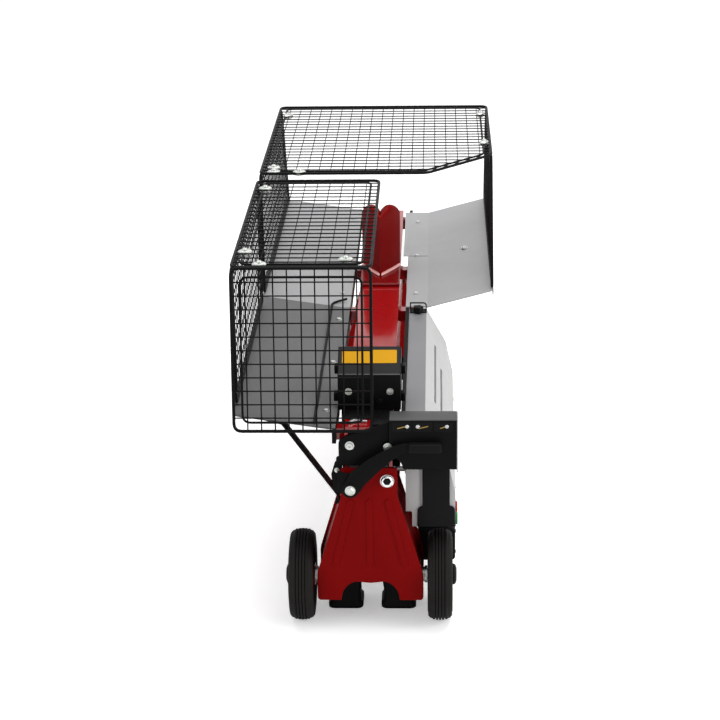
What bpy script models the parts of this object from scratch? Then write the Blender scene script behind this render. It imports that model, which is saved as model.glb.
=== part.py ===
"""Horizontal log splitter with a guard cage, built as separate pieces, in metres, +Z up.

X points to the right as the operator stands at the control end, and Y runs along the beam,
away from the operator. Heights are above the ground. Y values below are measured from the
wheel axle, and the root empty carries them to the model's own origin, which lies on the
ground under the middle of the machine.
"""
import bpy
import bmesh
from math import atan2, cos, pi, radians, sin, tan
from mathutils import Matrix, Vector

# Driving sizes
CLEARANCE = 0.0003
RUNNING_GAP = 0.0006
CUT_MARGIN = 0.001

BEAM_WIDTH = 0.070
BEAM_HEIGHT = 0.1037
BEAM_WALL = 0.005
BEAM_NEAR = -0.045
BEAM_FAR = 1.080
DECK_HEIGHT = 0.332

TAB_WIDTH = 0.022
TAB_HEIGHT = 0.018
TAB_DROP = 0.006
TAB_STATIONS = (-0.024, 0.498, 0.724, 1.040)

RAIL_THICKNESS = 0.006
RAIL_HEIGHT = 0.026
RAIL_GAP = 0.0125

SHEET = 0.002
TRAY_REACH = 0.198
TRAY_FLANGE = 0.011
TRAY_RISE = radians(8.5)
TRAY_LIP = 0.008
TRAY_SPLIT = 0.483
LEFT_TRAY_NEAR = -0.053
LEFT_TRAY_FAR = 1.083
RIGHT_TRAY_FAR = 1.056
RIGHT_FLANGE = 0.038
RIGHT_RISE = radians(15.0)

LEG_NEAR_FACE = -0.0483
LEG_DEPTH = 0.093
LEG_SHEET = 0.003
LEG_FOOT_WIDTH = 0.160
LEG_TOP_WIDTH = 0.084
LEG_BOTTOM = 0.050
LEG_SKIRT_TOP = 0.093
LEG_NECK = 0.006
LEG_UPSTAND = 0.0397
LEG_RIB_RADIUS = 0.005
LEG_RIB_SUNK = 0.001
LEG_RIB_END = 0.012
LEG_RIB_INSET = 0.016
LEG_RIB_SPREAD = 0.72
LEG_CORNER = 0.005
ARCH_BOTTOM_WIDTH = 0.088
ARCH_TOP_WIDTH = 0.038
ARCH_HEIGHT = 0.038
FAR_LEG_SETBACK = 0.060

FOOT_WIDTH = 0.054
FOOT_LENGTH = 0.050
FOOT_OFFSET = 0.041

WHEEL_RADIUS = 0.070
WHEEL_WIDTH = 0.038
WHEEL_OFFSET = 0.105
RIM_RADIUS = 0.045
HUB_RADIUS = 0.017
AXLE_RADIUS = 0.008
CAP_RADIUS = 0.016
CAP_HEIGHT = 0.006

WEDGE_WIDTH = 0.064
WEDGE_HEIGHT = 0.118
WEDGE_APEX = 0.644
WEDGE_LENGTH = 0.106
WEDGE_PLATE = 0.010
WEDGE_BASE_NEAR = 0.600
WEDGE_BASE_FAR = 0.775
WEDGE_BASE = 0.006

STROKE = 0.375
PUSHER_NEAR = 0.020
PUSHER_FAR = 0.110
PUSHER_WIDTH = 0.094
PUSHER_FACE_RISE = 0.056
PUSHER_RISE = 0.086
PUSHER_SLOPE_END = 0.062
PLATEN = 0.012
PLATEN_INSET = 0.003
PLATEN_RISE = 0.098
GROOVE_FIRST = 0.022
GROOVE_PITCH = 0.028
GROOVE_HALF = 0.006
GROOVE_DEPTH = 0.004
GUIDE_THICKNESS = 0.008
GUIDE_NEAR = 0.052
YOKE_DROP = 0.010
YOKE_THICKNESS = 0.010
TONGUE_WIDTH = 0.024
TONGUE_THICKNESS = 0.016
TONGUE_NEAR = 0.070

ROD_DROP = 0.052
ROD_RADIUS = 0.0125
ROD_NECK_RADIUS = 0.010
ROD_HEAD_RADIUS = 0.016
ROD_HEAD_LENGTH = 0.008
TONGUE_MARGIN = 0.004
CYLINDER_RADIUS = 0.0285
CYLINDER_WALL = 0.0055
CYLINDER_NEAR = 0.560
CYLINDER_FAR = 1.020
GLAND_LENGTH = 0.020
PISTON_LENGTH = 0.030
PISTON_SETBACK = 0.005
TUBE_END = 0.012
ANCHOR_LENGTH = 0.030

VALVE_FAR = 0.040
VALVE_DROP = 0.012
PIPE_RADIUS = 0.004
LINE_OFFSET = 0.0215
LINE_RISE = 0.010
FEED_Y = 0.025
FEED_RISE = 0.0067

MOTOR_X = 0.086
MOTOR_DROP = 0.0123
MOTOR_RADIUS = 0.037
MOTOR_NEAR = 0.076
MOTOR_LENGTH = 0.210
PUMP_RADIUS = 0.025
PUMP_NEAR = 0.010

COVER_NEAR = -0.020
COVER_FAR = 0.485
COVER_DROP = 0.002
COVER_FLANGE = 0.030
COVER_WAIST = 0.116
COVER_WAIST_DROP = 0.061
COVER_SIDE = 0.128
COVER_SIDE_DROP = 0.117
COVER_BOTTOM_DROP = 0.172
COVER_SHEET = 0.0025
LOUVRE_WIDTH = 0.006

SWITCH_BOX_LEFT = 0.070
SWITCH_BOX_RIGHT = 0.129
SWITCH_BOX_NEAR = 0.078
SWITCH_BOX_FAR = 0.196
SWITCH_BOX_BOTTOM = 0.054
SWITCH_BOX_CHAMFER = 0.008
BUTTON_RADIUS = 0.010
BUTTON_TRAVEL = 0.0025
BUTTON_PROUD = 0.004
BUTTON_RISE = 0.056
START_Y = 0.115
STOP_Y = 0.155
INLET_X = 0.100
INLET_RISE = 0.046
INLET_SIZE = 0.030
INLET_DEPTH = 0.018
INLET_WALL = 0.003

END_PLATE_LEFT = -0.041
END_PLATE_RIGHT = 0.0304
END_PLATE_DROP = 0.061
END_PLATE_RISE = 0.010
END_PLATE_THICKNESS = 0.0035
HOUSING_RIGHT = 0.131
HOUSING_NEAR = -0.055
HOUSING_RISE = 0.015
HOUSING_NOTCH = 0.020

LEVER_PIVOT_X = -0.027
LEVER_PIVOT_RISE = 0.0117
LEVER_SHAFT_RADIUS = 0.006
LEVER_PLANE = -0.064
LEVER_THICKNESS = 0.005
LEVER_WIDTH = 0.016
LEVER_HUB_RADIUS = 0.011
GRIP_LEFT = 0.059
GRIP_LENGTH = 0.048
GRIP_RADIUS = 0.007
GRIP_RISE = 0.074

BLEED_X = 0.027
BLEED_RISE = 0.0197
BLEED_RADIUS = 0.009
BLEED_SHANK_RADIUS = 0.005
BLEED_SHANK = 0.0027
BLEED_HEAD = 0.006
BLEED_EDGE = 0.001
BLEED_SOCKET_RADIUS = 0.0035
BLEED_SOCKET_DEPTH = 0.0035

KNOB_X = 0.069
KNOB_Y = 0.463
KNOB_RADIUS = 0.009
KNOB_LOBES = 5
KNOB_HEIGHT = 0.012

CAGE_RISE = 0.243
CAGE_WIRE = 0.0032
CAGE_PITCH = 0.040
CAGE_RIGHT = 0.007
CAGE_FRONT_DROP = 0.002
CAGE_FRONT_LOW_Y = -0.0585
CAGE_FRONT_TOP_Y = -0.022
CAGE_NEAR_FAR = 0.445
CAGE_FAR_NEAR = 0.490
CAGE_FAR_FAR = 0.970
CAGE_CUT_X = 0.085
CAGE_CUT_Y = 0.607

STRUT_WIDTH = 0.020
STRUT_SHEET = 0.003
STRUT_FOOT = 0.026
STRUT_FOOT_RISE = 0.006
STRUT_SEAT = 0.028
STRUT_REACH = 0.152

# Sizes that follow from the ones above
BEAM_BOTTOM = DECK_HEIGHT - BEAM_HEIGHT
HALF_BEAM = BEAM_WIDTH / 2
PUSHER_FACE_TOP = DECK_HEIGHT + PUSHER_FACE_RISE
PUSHER_TOP = DECK_HEIGHT + PUSHER_RISE
PLATEN_TOP = DECK_HEIGHT + PLATEN_RISE
ROD_HEIGHT = DECK_HEIGHT - ROD_DROP
VALVE_TOP = DECK_HEIGHT - VALVE_DROP
LINE_HEIGHT = ROD_HEIGHT + LINE_RISE
FEED_HEIGHT = BEAM_BOTTOM + FEED_RISE
MOTOR_HEIGHT = BEAM_BOTTOM - MOTOR_DROP
COVER_TOP = DECK_HEIGHT - COVER_DROP
COVER_WAIST_HEIGHT = DECK_HEIGHT - COVER_WAIST_DROP
COVER_SIDE_HEIGHT = DECK_HEIGHT - COVER_SIDE_DROP
COVER_BOTTOM = DECK_HEIGHT - COVER_BOTTOM_DROP
BUTTON_HEIGHT = SWITCH_BOX_BOTTOM + BUTTON_RISE
INLET_HEIGHT = SWITCH_BOX_BOTTOM + INLET_RISE
END_PLATE_BOTTOM = DECK_HEIGHT - END_PLATE_DROP
END_PLATE_TOP = DECK_HEIGHT + END_PLATE_RISE
HOUSING_TOP = DECK_HEIGHT + HOUSING_RISE
LEVER_PIVOT_HEIGHT = BEAM_BOTTOM + LEVER_PIVOT_RISE
GRIP_HEIGHT = LEVER_PIVOT_HEIGHT + GRIP_RISE
BLEED_HEIGHT = BEAM_BOTTOM + BLEED_RISE
CAGE_TOP = DECK_HEIGHT + CAGE_RISE
CAGE_FRONT_BOTTOM = DECK_HEIGHT - CAGE_FRONT_DROP
RAIL_INNER = HALF_BEAM + RAIL_GAP
RAIL_OUTER = RAIL_INNER + RAIL_THICKNESS
RAIL_TOP = DECK_HEIGHT
TRAY_SEAT = RAIL_TOP + CLEARANCE
LEG_TOP = BEAM_BOTTOM - CLEARANCE
LEG_SHOULDER = LEG_TOP - LEG_NECK
LEG_UPSTAND_TOP = BEAM_BOTTOM + LEG_UPSTAND
FAR_LEG_SHIFT = BEAM_FAR - FAR_LEG_SETBACK
GUIDE_INNER = HALF_BEAM + RUNNING_GAP
GUIDE_OUTER = GUIDE_INNER + GUIDE_THICKNESS
YOKE_TOP = BEAM_BOTTOM - YOKE_DROP
LEVER_FRONT = LEVER_PLANE - GRIP_RADIUS
AXLE_Y = -(LEFT_TRAY_FAR + LEVER_FRONT) / 2
SWITCH_BOX_TOP = COVER_BOTTOM - CLEARANCE
COVER_INNER = RAIL_OUTER + CLEARANCE

PALETTE = {
    "red_paint": ((0.33, 0.012, 0.012), 0.28, 0.0),
    "black_paint": ((0.012, 0.012, 0.013), 0.45, 0.0),
    "tray_grey": ((0.30, 0.30, 0.31), 0.5, 0.2),
    "cover_grey": ((0.62, 0.62, 0.63), 0.45, 0.0),
    "black_plastic": ((0.015, 0.015, 0.016), 0.55, 0.0),
    "rubber": ((0.02, 0.02, 0.02), 0.85, 0.0),
    "steel": ((0.45, 0.45, 0.46), 0.35, 1.0),
    "chrome": ((0.75, 0.75, 0.76), 0.12, 1.0),
    "cast_iron": ((0.10, 0.10, 0.105), 0.6, 0.7),
    "red_plastic": ((0.50, 0.015, 0.012), 0.4, 0.0),
    "green_plastic": ((0.02, 0.25, 0.05), 0.4, 0.0),
}


def clear_scene():
    for old in list(bpy.data.objects):
        bpy.data.objects.remove(old, do_unlink=True)


def new_collection(name):
    made = bpy.data.collections.new(name)
    bpy.context.scene.collection.children.link(made)
    return made


def make_material(name):
    colour, roughness, metallic = PALETTE[name]
    made = bpy.data.materials.new(name)
    made.use_nodes = True
    shader = made.node_tree.nodes["Principled BSDF"]
    shader.inputs["Base Color"].default_value = (*colour, 1.0)
    shader.inputs["Roughness"].default_value = roughness
    shader.inputs["Metallic"].default_value = metallic
    made.diffuse_color = (*colour, 1.0)
    return made


clear_scene()
PARTS = new_collection("log_splitter")
CUTTERS = new_collection("log_splitter_cutters")
MATERIALS = {name: make_material(name) for name in PALETTE}


def make_empty(name, parent=None, at=(0, 0, 0)):
    made = bpy.data.objects.new(name, None)
    made.location = at
    made.parent = parent
    PARTS.objects.link(made)
    return made


ROOT = make_empty("splitter_root", at=(0, AXLE_Y, 0))


def add_object(name, mesh, material, parent=ROOT, at=(0, 0, 0)):
    """Link a mesh as a named part; coordinates in the mesh are relative to its location."""
    made = bpy.data.objects.new(name, mesh)
    made.location = at
    made.parent = parent
    if material is None:
        made.hide_render = True
        made.display_type = "WIRE"
        CUTTERS.objects.link(made)
    else:
        mesh.materials.clear()
        mesh.materials.append(MATERIALS[material])
        PARTS.objects.link(made)
    mesh.shade_smooth()
    mesh.set_sharp_from_angle(angle=radians(32))
    return made


def mesh_from_curve(curve, matrix=Matrix.Identity(4)):
    """Turn a curve into a welded mesh, moved by a matrix."""
    holder = bpy.data.objects.new("curve_holder", curve)
    bpy.context.scene.collection.objects.link(holder)
    graph = bpy.context.evaluated_depsgraph_get()
    mesh = bpy.data.meshes.new_from_object(holder.evaluated_get(graph))
    bpy.data.objects.remove(holder, do_unlink=True)
    work = bmesh.new()
    work.from_mesh(mesh)
    bmesh.ops.remove_doubles(work, verts=work.verts, dist=0.00001)
    work.transform(matrix)
    bmesh.ops.recalc_face_normals(work, faces=work.faces)
    if work.calc_volume(signed=True) < 0:
        bmesh.ops.reverse_faces(work, faces=work.faces)
    work.to_mesh(mesh)
    work.free()
    return mesh


def poly_curve(points, closed, dimensions):
    curve = bpy.data.curves.new("outline", "CURVE")
    curve.dimensions = dimensions
    spline = curve.splines.new("POLY")
    spline.points.add(len(points) - 1)
    for slot, point in zip(spline.points, points):
        slot.co = (*point, 0.0, 1.0) if len(point) == 2 else (*point, 1.0)
    spline.use_cyclic_u = closed
    return curve


# The matrices lay a flat outline's own X, Y and Z along the model's axes.
PLANES = {
    "XY": Matrix(((1, 0, 0, 0), (0, 1, 0, 0), (0, 0, 1, 0), (0, 0, 0, 1))),
    "XZ": Matrix(((1, 0, 0, 0), (0, 0, 1, 0), (0, 1, 0, 0), (0, 0, 0, 1))),
    "YZ": Matrix(((0, 0, 1, 0), (1, 0, 0, 0), (0, 1, 0, 0), (0, 0, 0, 1))),
}
NORMALS = {"XY": Vector((0, 0, 1)), "XZ": Vector((0, 1, 0)), "YZ": Vector((1, 0, 0))}


def outline_mesh(points, plane, low, high, solid=True):
    """A flat outline drawn out between two stations: a solid plate, or an open ribbon."""
    curve = poly_curve(points, solid, "2D")
    curve.fill_mode = "BOTH" if solid else "NONE"
    curve.extrude = (high - low) / 2
    shift = Matrix.Translation(NORMALS[plane] * (low + high) / 2)
    return mesh_from_curve(curve, shift @ PLANES[plane])


def plate(name, material, points, plane, low, high, parent=ROOT):
    return add_object(name, outline_mesh(points, plane, low, high), material, parent)


def block(name, material, x, y, z, parent=ROOT, bevel=0.0, segments=2):
    """A box between pairs of stations on each axis, with rounded edges if asked."""
    work = bmesh.new()
    bmesh.ops.create_cube(work, size=1.0)
    size = Vector((x[1] - x[0], y[1] - y[0], z[1] - z[0]))
    centre = Vector((x[0] + x[1], y[0] + y[1], z[0] + z[1])) / 2
    bmesh.ops.scale(work, vec=size, verts=work.verts)
    bmesh.ops.translate(work, vec=centre, verts=work.verts)
    mesh = bpy.data.meshes.new(name)
    work.to_mesh(mesh)
    work.free()
    made = add_object(name, mesh, material, parent)
    if bevel:
        round_edges(made, bevel, segments)
    return made


def round_edges(obj, width, segments=2, angle=radians(40)):
    bevel = obj.modifiers.new("rounded_edges", "BEVEL")
    bevel.width = width
    bevel.segments = segments
    bevel.limit_method = "ANGLE"
    bevel.angle_limit = angle
    return bevel


def thicken(obj, thickness, offset):
    shell = obj.modifiers.new("sheet", "SOLIDIFY")
    shell.thickness = thickness
    shell.offset = offset
    shell.use_even_offset = True
    return shell


def strip(name, material, points, low, high, thickness, plane="XZ", offset=0.0):
    """Bent sheet: a ribbon along the outline, given a thickness."""
    made = add_object(name, outline_mesh(points, plane, low, high, solid=False), material)
    thicken(made, thickness, offset)
    return made


TURN_AXES = {
    "X": Matrix.Rotation(radians(90), 4, "Y"),
    "-X": Matrix.Rotation(radians(-90), 4, "Y"),
    "Y": Matrix.Rotation(radians(-90), 4, "X"),
    "-Y": Matrix.Rotation(radians(90), 4, "X"),
    "Z": Matrix.Identity(4),
}


def turned(name, material, profile, axis, at=(0, 0, 0), steps=24, closed=False, parent=ROOT):
    """A turned piece. The profile holds (radius, height) pairs, its outer side top to bottom."""
    work = bmesh.new()
    corners = [work.verts.new((radius, 0.0, height)) for radius, height in profile]
    for first, second in zip(corners, corners[1:]):
        work.edges.new((first, second))
    if closed:
        work.edges.new((corners[-1], corners[0]))
    mesh = bpy.data.meshes.new(name)
    work.to_mesh(mesh)
    work.free()
    made = add_object(name, mesh, material, parent, at)
    made.rotation_euler = TURN_AXES[axis].to_euler()
    screw = made.modifiers.new("turning", "SCREW")
    screw.steps = steps
    screw.render_steps = steps
    screw.use_merge_vertices = True
    screw.merge_threshold = 0.00001
    screw.use_smooth_shade = True
    return made


def rod_profile(radius, low, high, chamfer=0.0):
    """A plain round bar between two heights, with its ends chamfered if asked."""
    if chamfer:
        inner = radius - chamfer
        return [(0, high), (inner, high), (radius, high - chamfer),
                (radius, low + chamfer), (inner, low), (0, low)]
    return [(0, high), (radius, high), (radius, low), (0, low)]


def ring_profile(outer, inner, low, high):
    return [(outer, high), (outer, low), (inner, low), (inner, high)]


def rod_mesh(points, radius, sides=2):
    curve = poly_curve(points, False, "3D")
    curve.bevel_depth = radius
    curve.bevel_resolution = sides
    curve.use_fill_caps = True
    return mesh_from_curve(curve)


def combine(target, tool, operation):
    """Cut a tool shape away from a piece, or join it on."""
    step = target.modifiers.new(operation.lower(), "BOOLEAN")
    step.operation = operation
    step.solver = "EXACT"
    step.object = tool
    return step


def cut(target, tool):
    combine(target, tool, "DIFFERENCE")


def join(target, tool):
    combine(target, tool, "UNION")


def make_beam():
    """Inverted channel with the rail tabs welded to both webs."""
    inner = HALF_BEAM - BEAM_WALL
    roof = DECK_HEIGHT - BEAM_WALL
    outline = [(-HALF_BEAM, BEAM_BOTTOM), (-inner, BEAM_BOTTOM), (-inner, roof), (inner, roof),
               (inner, BEAM_BOTTOM), (HALF_BEAM, BEAM_BOTTOM), (HALF_BEAM, DECK_HEIGHT),
               (-HALF_BEAM, DECK_HEIGHT)]
    beam = plate("beam", "red_paint", outline, "XZ", BEAM_NEAR, BEAM_FAR)
    top = DECK_HEIGHT - TAB_DROP
    for number, station in enumerate(TAB_STATIONS):
        for side in (-1, 1):
            reach = sorted((side * (HALF_BEAM - 0.001), side * (RAIL_INNER - CLEARANCE)))
            along = (station - TAB_WIDTH / 2, station + TAB_WIDTH / 2)
            tab = block(f"tab_{number}_{side}", None, reach, along, (top - TAB_HEIGHT, top))
            join(beam, tab)
    feed_hole = turned("feed_hole", None, rod_profile(PIPE_RADIUS + CLEARANCE, 0.025, 0.045),
                       "X", (0, FEED_Y, FEED_HEIGHT), 16)
    cut(beam, feed_hole)


def make_rails():
    for side, word in ((-1, "left"), (1, "right")):
        across = sorted((side * RAIL_INNER, side * RAIL_OUTER))
        block(f"rail_{word}", "black_paint", across, (BEAM_NEAR, BEAM_FAR),
              (RAIL_TOP - RAIL_HEIGHT, RAIL_TOP))


def leg_ribs(name, face, outward):
    """Three pressed ribs on one face of a leg."""
    half_top = LEG_TOP_WIDTH / 2
    lean = (LEG_FOOT_WIDTH - LEG_TOP_WIDTH) / 2 / (LEG_SHOULDER - LEG_SKIRT_TOP)
    high = LEG_SHOULDER - LEG_RIB_END
    low = LEG_SKIRT_TOP + LEG_RIB_END
    ribs = []
    for number, side in enumerate((-1, 0, 1)):
        top_x = side * (half_top - LEG_RIB_INSET)
        low_x = side * (half_top - LEG_RIB_INSET + lean * (high - low) * LEG_RIB_SPREAD)
        y = face - outward * LEG_RIB_SUNK
        mesh = rod_mesh([(low_x, y, low), (top_x, y, high)], LEG_RIB_RADIUS, 2)
        ribs.append(add_object(f"{name}_rib_{number}", mesh, None))
    return ribs


def make_leg(name, near, upstand):
    """Pressed sheet leg: a tapered cap open below, with an arch cut front and back."""
    far = near + LEG_DEPTH
    half_foot = LEG_FOOT_WIDTH / 2
    half_top = LEG_TOP_WIDTH / 2
    right = [(half_foot, LEG_BOTTOM), (half_foot, LEG_SKIRT_TOP), (half_top, LEG_SHOULDER),
             (half_top, LEG_TOP)]
    outline = right + [(-x, z) for x, z in reversed(right)]
    mesh = outline_mesh(outline, "XZ", near, far)
    work = bmesh.new()
    work.from_mesh(mesh)
    bottom = [face for face in work.faces if face.calc_center_median().z < LEG_BOTTOM + 0.001]
    bmesh.ops.delete(work, geom=bottom, context="FACES")
    bmesh.ops.dissolve_limit(work, angle_limit=radians(1), verts=work.verts, edges=work.edges)
    work.to_mesh(mesh)
    work.free()
    leg = add_object(name, mesh, "red_paint")
    round_edges(leg, LEG_CORNER)
    thicken(leg, LEG_SHEET, -1.0)
    slant = [(ARCH_BOTTOM_WIDTH / 2, LEG_BOTTOM - 0.002),
             (ARCH_TOP_WIDTH / 2, LEG_BOTTOM + ARCH_HEIGHT)]
    arch_outline = slant + [(-x, z) for x, z in reversed(slant)]
    arch = plate(f"{name}_arch", None, arch_outline, "XZ", near - 0.01, far + 0.01)
    cut(leg, arch)
    for rib in leg_ribs(name, near, -1.0):
        join(leg, rib)
    if upstand:
        wall = block(f"{name}_upstand", None, (-half_top, half_top), (near, near + LEG_SHEET),
                     (LEG_TOP - 0.012, LEG_UPSTAND_TOP))
        join(leg, wall)
        holes = ((LEVER_PIVOT_X, LEVER_PIVOT_HEIGHT, LEVER_SHAFT_RADIUS, "lever"),
                 (BLEED_X, BLEED_HEIGHT, BLEED_SHANK_RADIUS, "bleed"))
        for x, z, radius, word in holes:
            hole = turned(f"{word}_hole", None, rod_profile(radius + RUNNING_GAP, -0.01, 0.01),
                          "Y", (x, near, z), 20)
            cut(leg, hole)
        hole = turned("axle_hole", None, rod_profile(AXLE_RADIUS + CLEARANCE, -0.1, 0.1),
                      "X", (0, 0, WHEEL_RADIUS), 24)
        cut(leg, hole)


def make_feet():
    """Rubber pads that stand under the back wall of each leg."""
    wall = LEG_NEAR_FACE + LEG_DEPTH - LEG_SHEET / 2
    for shift, end in ((0.0, "near"), (FAR_LEG_SHIFT - wall, "far")):
        for side, word in ((-1, "left"), (1, "right")):
            middle = side * FOOT_OFFSET
            y = wall + shift
            block(f"foot_{end}_{word}", "rubber", (middle - FOOT_WIDTH / 2, middle + FOOT_WIDTH / 2),
                  (y - FOOT_LENGTH / 2, y + FOOT_LENGTH / 2), (0.0, LEG_BOTTOM - CLEARANCE),
                  bevel=0.002, segments=1)


def make_wheels():
    """Two free wheels on a through axle; each has a tyre, a rim and a hub cap."""
    end = WHEEL_OFFSET + WHEEL_WIDTH / 2
    turned("axle", "steel", rod_profile(AXLE_RADIUS, -end, end, 0.001), "X", (0, 0, WHEEL_RADIUS))
    half = WHEEL_WIDTH / 2
    seat = RIM_RADIUS + CLEARANCE
    tyre = [(seat, half - 0.006), (0.058, half), (0.066, half - 0.003), (WHEEL_RADIUS, half - 0.010)]
    tyre = tyre + [(radius, -height) for radius, height in reversed(tyre)]
    bore = AXLE_RADIUS + CLEARANCE
    rim = [(bore, half), (HUB_RADIUS, half), (HUB_RADIUS, 0.006), (0.036, 0.006),
           (0.040, half - 0.004), (RIM_RADIUS, half - 0.005)]
    rim = rim + [(radius, -height) for radius, height in reversed(rim)]
    cap = [(0, CAP_HEIGHT), (CAP_RADIUS * 0.6, CAP_HEIGHT), (CAP_RADIUS * 0.9, CAP_HEIGHT * 0.7),
           (CAP_RADIUS, CAP_HEIGHT * 0.3), (CAP_RADIUS, 0), (0, 0)]
    for side, word, axis in ((-1, "left", "-X"), (1, "right", "X")):
        hub = make_empty(f"wheel_{word}_axis", ROOT, (side * WHEEL_OFFSET, 0, WHEEL_RADIUS))
        turned(f"tyre_{word}", "rubber", tyre, axis, steps=28, closed=True, parent=hub)
        turned(f"rim_{word}", "red_paint", rim, axis, steps=28, closed=True, parent=hub)
        turned(f"hub_cap_{word}", "black_plastic", cap, axis,
               (side * (half + CLEARANCE), 0, 0), 24, parent=hub)


def wedge_outline():
    """Plan of the splitting wedge: a bent plate, sharp towards the pusher and open behind."""
    half = WEDGE_WIDTH / 2
    tip = (0.0, WEDGE_APEX)
    shoulder_y = WEDGE_APEX + WEDGE_LENGTH * 0.55
    far = WEDGE_APEX + WEDGE_LENGTH
    inner = half - WEDGE_PLATE
    crotch = (0.0, WEDGE_APEX + WEDGE_PLATE * 2.2)
    return [tip, (half, shoulder_y), (half, far), (inner, far), (inner, shoulder_y), crotch,
            (-inner, shoulder_y), (-inner, far), (-half, far), (-half, shoulder_y)]


def make_wedge():
    low = DECK_HEIGHT + CLEARANCE + WEDGE_BASE
    block("wedge_base", "red_paint", (-HALF_BEAM, HALF_BEAM), (WEDGE_BASE_NEAR, WEDGE_BASE_FAR),
          (DECK_HEIGHT + CLEARANCE, low), bevel=0.002, segments=1)
    top = DECK_HEIGHT + WEDGE_HEIGHT
    wedge = plate("wedge", "red_paint", wedge_outline(), "XY", low + CLEARANCE, top)
    drop = 0.022
    rear = WEDGE_APEX + WEDGE_LENGTH
    corner = [(rear + 0.01, top + 0.01), (rear + 0.01, top - drop)]
    steps = 5
    for step in range(steps + 1):
        angle = pi / 2 * step / steps
        corner.append((rear - drop + drop * cos(angle), top - drop + drop * sin(angle)))
    corner.append((rear - drop, top + 0.01))
    cutter = plate("wedge_corner", None, corner, "YZ", -WEDGE_WIDTH, WEDGE_WIDTH)
    cut(wedge, cutter)


def make_pusher():
    """Carriage that grips the beam from both sides, pulled by the piston rod below the deck."""
    slide = make_empty("pusher_slide", ROOT, (0, 0, 0))
    half = PUSHER_WIDTH / 2
    low = DECK_HEIGHT + RUNNING_GAP
    side = [(PUSHER_NEAR, low), (PUSHER_FAR, low), (PUSHER_FAR, PUSHER_TOP),
            (PUSHER_SLOPE_END, PUSHER_TOP), (PUSHER_NEAR, PUSHER_FACE_TOP)]
    body = plate("pusher_block", "black_paint", side, "YZ", -half, half, slide)
    round_edges(body, 0.002, 1)
    platen_near = PUSHER_FAR + CLEARANCE
    platen = block("pusher_platen", "black_paint", (-half + PLATEN_INSET, half - PLATEN_INSET),
                   (platen_near, platen_near + PLATEN), (low, PLATEN_TOP), slide, bevel=0.002,
                   segments=1)
    for number in range(3):
        z = low + GROOVE_FIRST + number * GROOVE_PITCH
        face = platen_near + PLATEN
        groove = [(face + CUT_MARGIN, z - GROOVE_HALF), (face - GROOVE_DEPTH, z),
                  (face + CUT_MARGIN, z + GROOVE_HALF)]
        cut(platen, plate(f"platen_groove_{number}", None, groove, "YZ", -half, half))
    for sign, word in ((-1, "left"), (1, "right")):
        across = sorted((sign * GUIDE_INNER, sign * GUIDE_OUTER))
        block(f"pusher_guide_{word}", "black_paint", across, (GUIDE_NEAR, PUSHER_FAR),
              (YOKE_TOP + CLEARANCE, low - CLEARANCE), slide)
    tongue_top = ROD_HEIGHT + ROD_HEAD_RADIUS + TONGUE_MARGIN
    tongue_far = TONGUE_NEAR + TONGUE_THICKNESS
    yoke = block("pusher_yoke", "cast_iron", (-GUIDE_OUTER, GUIDE_OUTER),
                 (GUIDE_NEAR, PUSHER_FAR), (YOKE_TOP - YOKE_THICKNESS, YOKE_TOP), slide)
    tongue = block("yoke_tongue", None, (-TONGUE_WIDTH / 2, TONGUE_WIDTH / 2),
                   (TONGUE_NEAR, tongue_far), (YOKE_TOP - 0.002, tongue_top))
    join(yoke, tongue)
    neck = rod_profile(ROD_NECK_RADIUS + CLEARANCE, -0.01, TONGUE_THICKNESS + 0.01)
    cut(yoke, turned("rod_hole", None, neck, "Y", (0, TONGUE_NEAR, ROD_HEIGHT), 20))
    piston_far = CYLINDER_NEAR + GLAND_LENGTH + PISTON_LENGTH + PISTON_SETBACK
    bore = CYLINDER_RADIUS - CYLINDER_WALL
    shoulder = tongue_far + CLEARANCE
    piston = bore - RUNNING_GAP
    near = TONGUE_NEAR - CLEARANCE
    profile = [(0, piston_far), (piston, piston_far), (piston, piston_far - PISTON_LENGTH),
               (ROD_RADIUS, piston_far - PISTON_LENGTH), (ROD_RADIUS, shoulder),
               (ROD_NECK_RADIUS, shoulder), (ROD_NECK_RADIUS, near), (ROD_HEAD_RADIUS, near),
               (ROD_HEAD_RADIUS, near - ROD_HEAD_LENGTH), (0, near - ROD_HEAD_LENGTH)]
    turned("piston_rod", "chrome", profile, "Y", (0, 0, ROD_HEIGHT), 24, parent=slide)


def make_cylinder():
    """Hydraulic cylinder that lies in the channel of the beam, behind the wedge."""
    bore = CYLINDER_RADIUS - CYLINDER_WALL
    tube_near = CYLINDER_NEAR + GLAND_LENGTH + CLEARANCE
    tube = [(0, CYLINDER_FAR), (CYLINDER_RADIUS, CYLINDER_FAR), (CYLINDER_RADIUS, tube_near),
            (bore, tube_near), (bore, CYLINDER_FAR - TUBE_END), (0, CYLINDER_FAR - TUBE_END)]
    turned("cylinder_tube", "steel", tube, "Y", (0, 0, ROD_HEIGHT), 28)
    gland = ring_profile(CYLINDER_RADIUS, ROD_RADIUS + RUNNING_GAP, CYLINDER_NEAR,
                         CYLINDER_NEAR + GLAND_LENGTH)
    turned("cylinder_gland", "black_paint", gland, "Y", (0, 0, ROD_HEIGHT), 28, closed=True)
    inner = HALF_BEAM - BEAM_WALL - CLEARANCE
    near = CYLINDER_FAR + CLEARANCE
    block("cylinder_anchor", "cast_iron", (-inner, inner), (near, near + ANCHOR_LENGTH),
          (BEAM_BOTTOM + 0.004, DECK_HEIGHT - BEAM_WALL - CLEARANCE))


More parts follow.
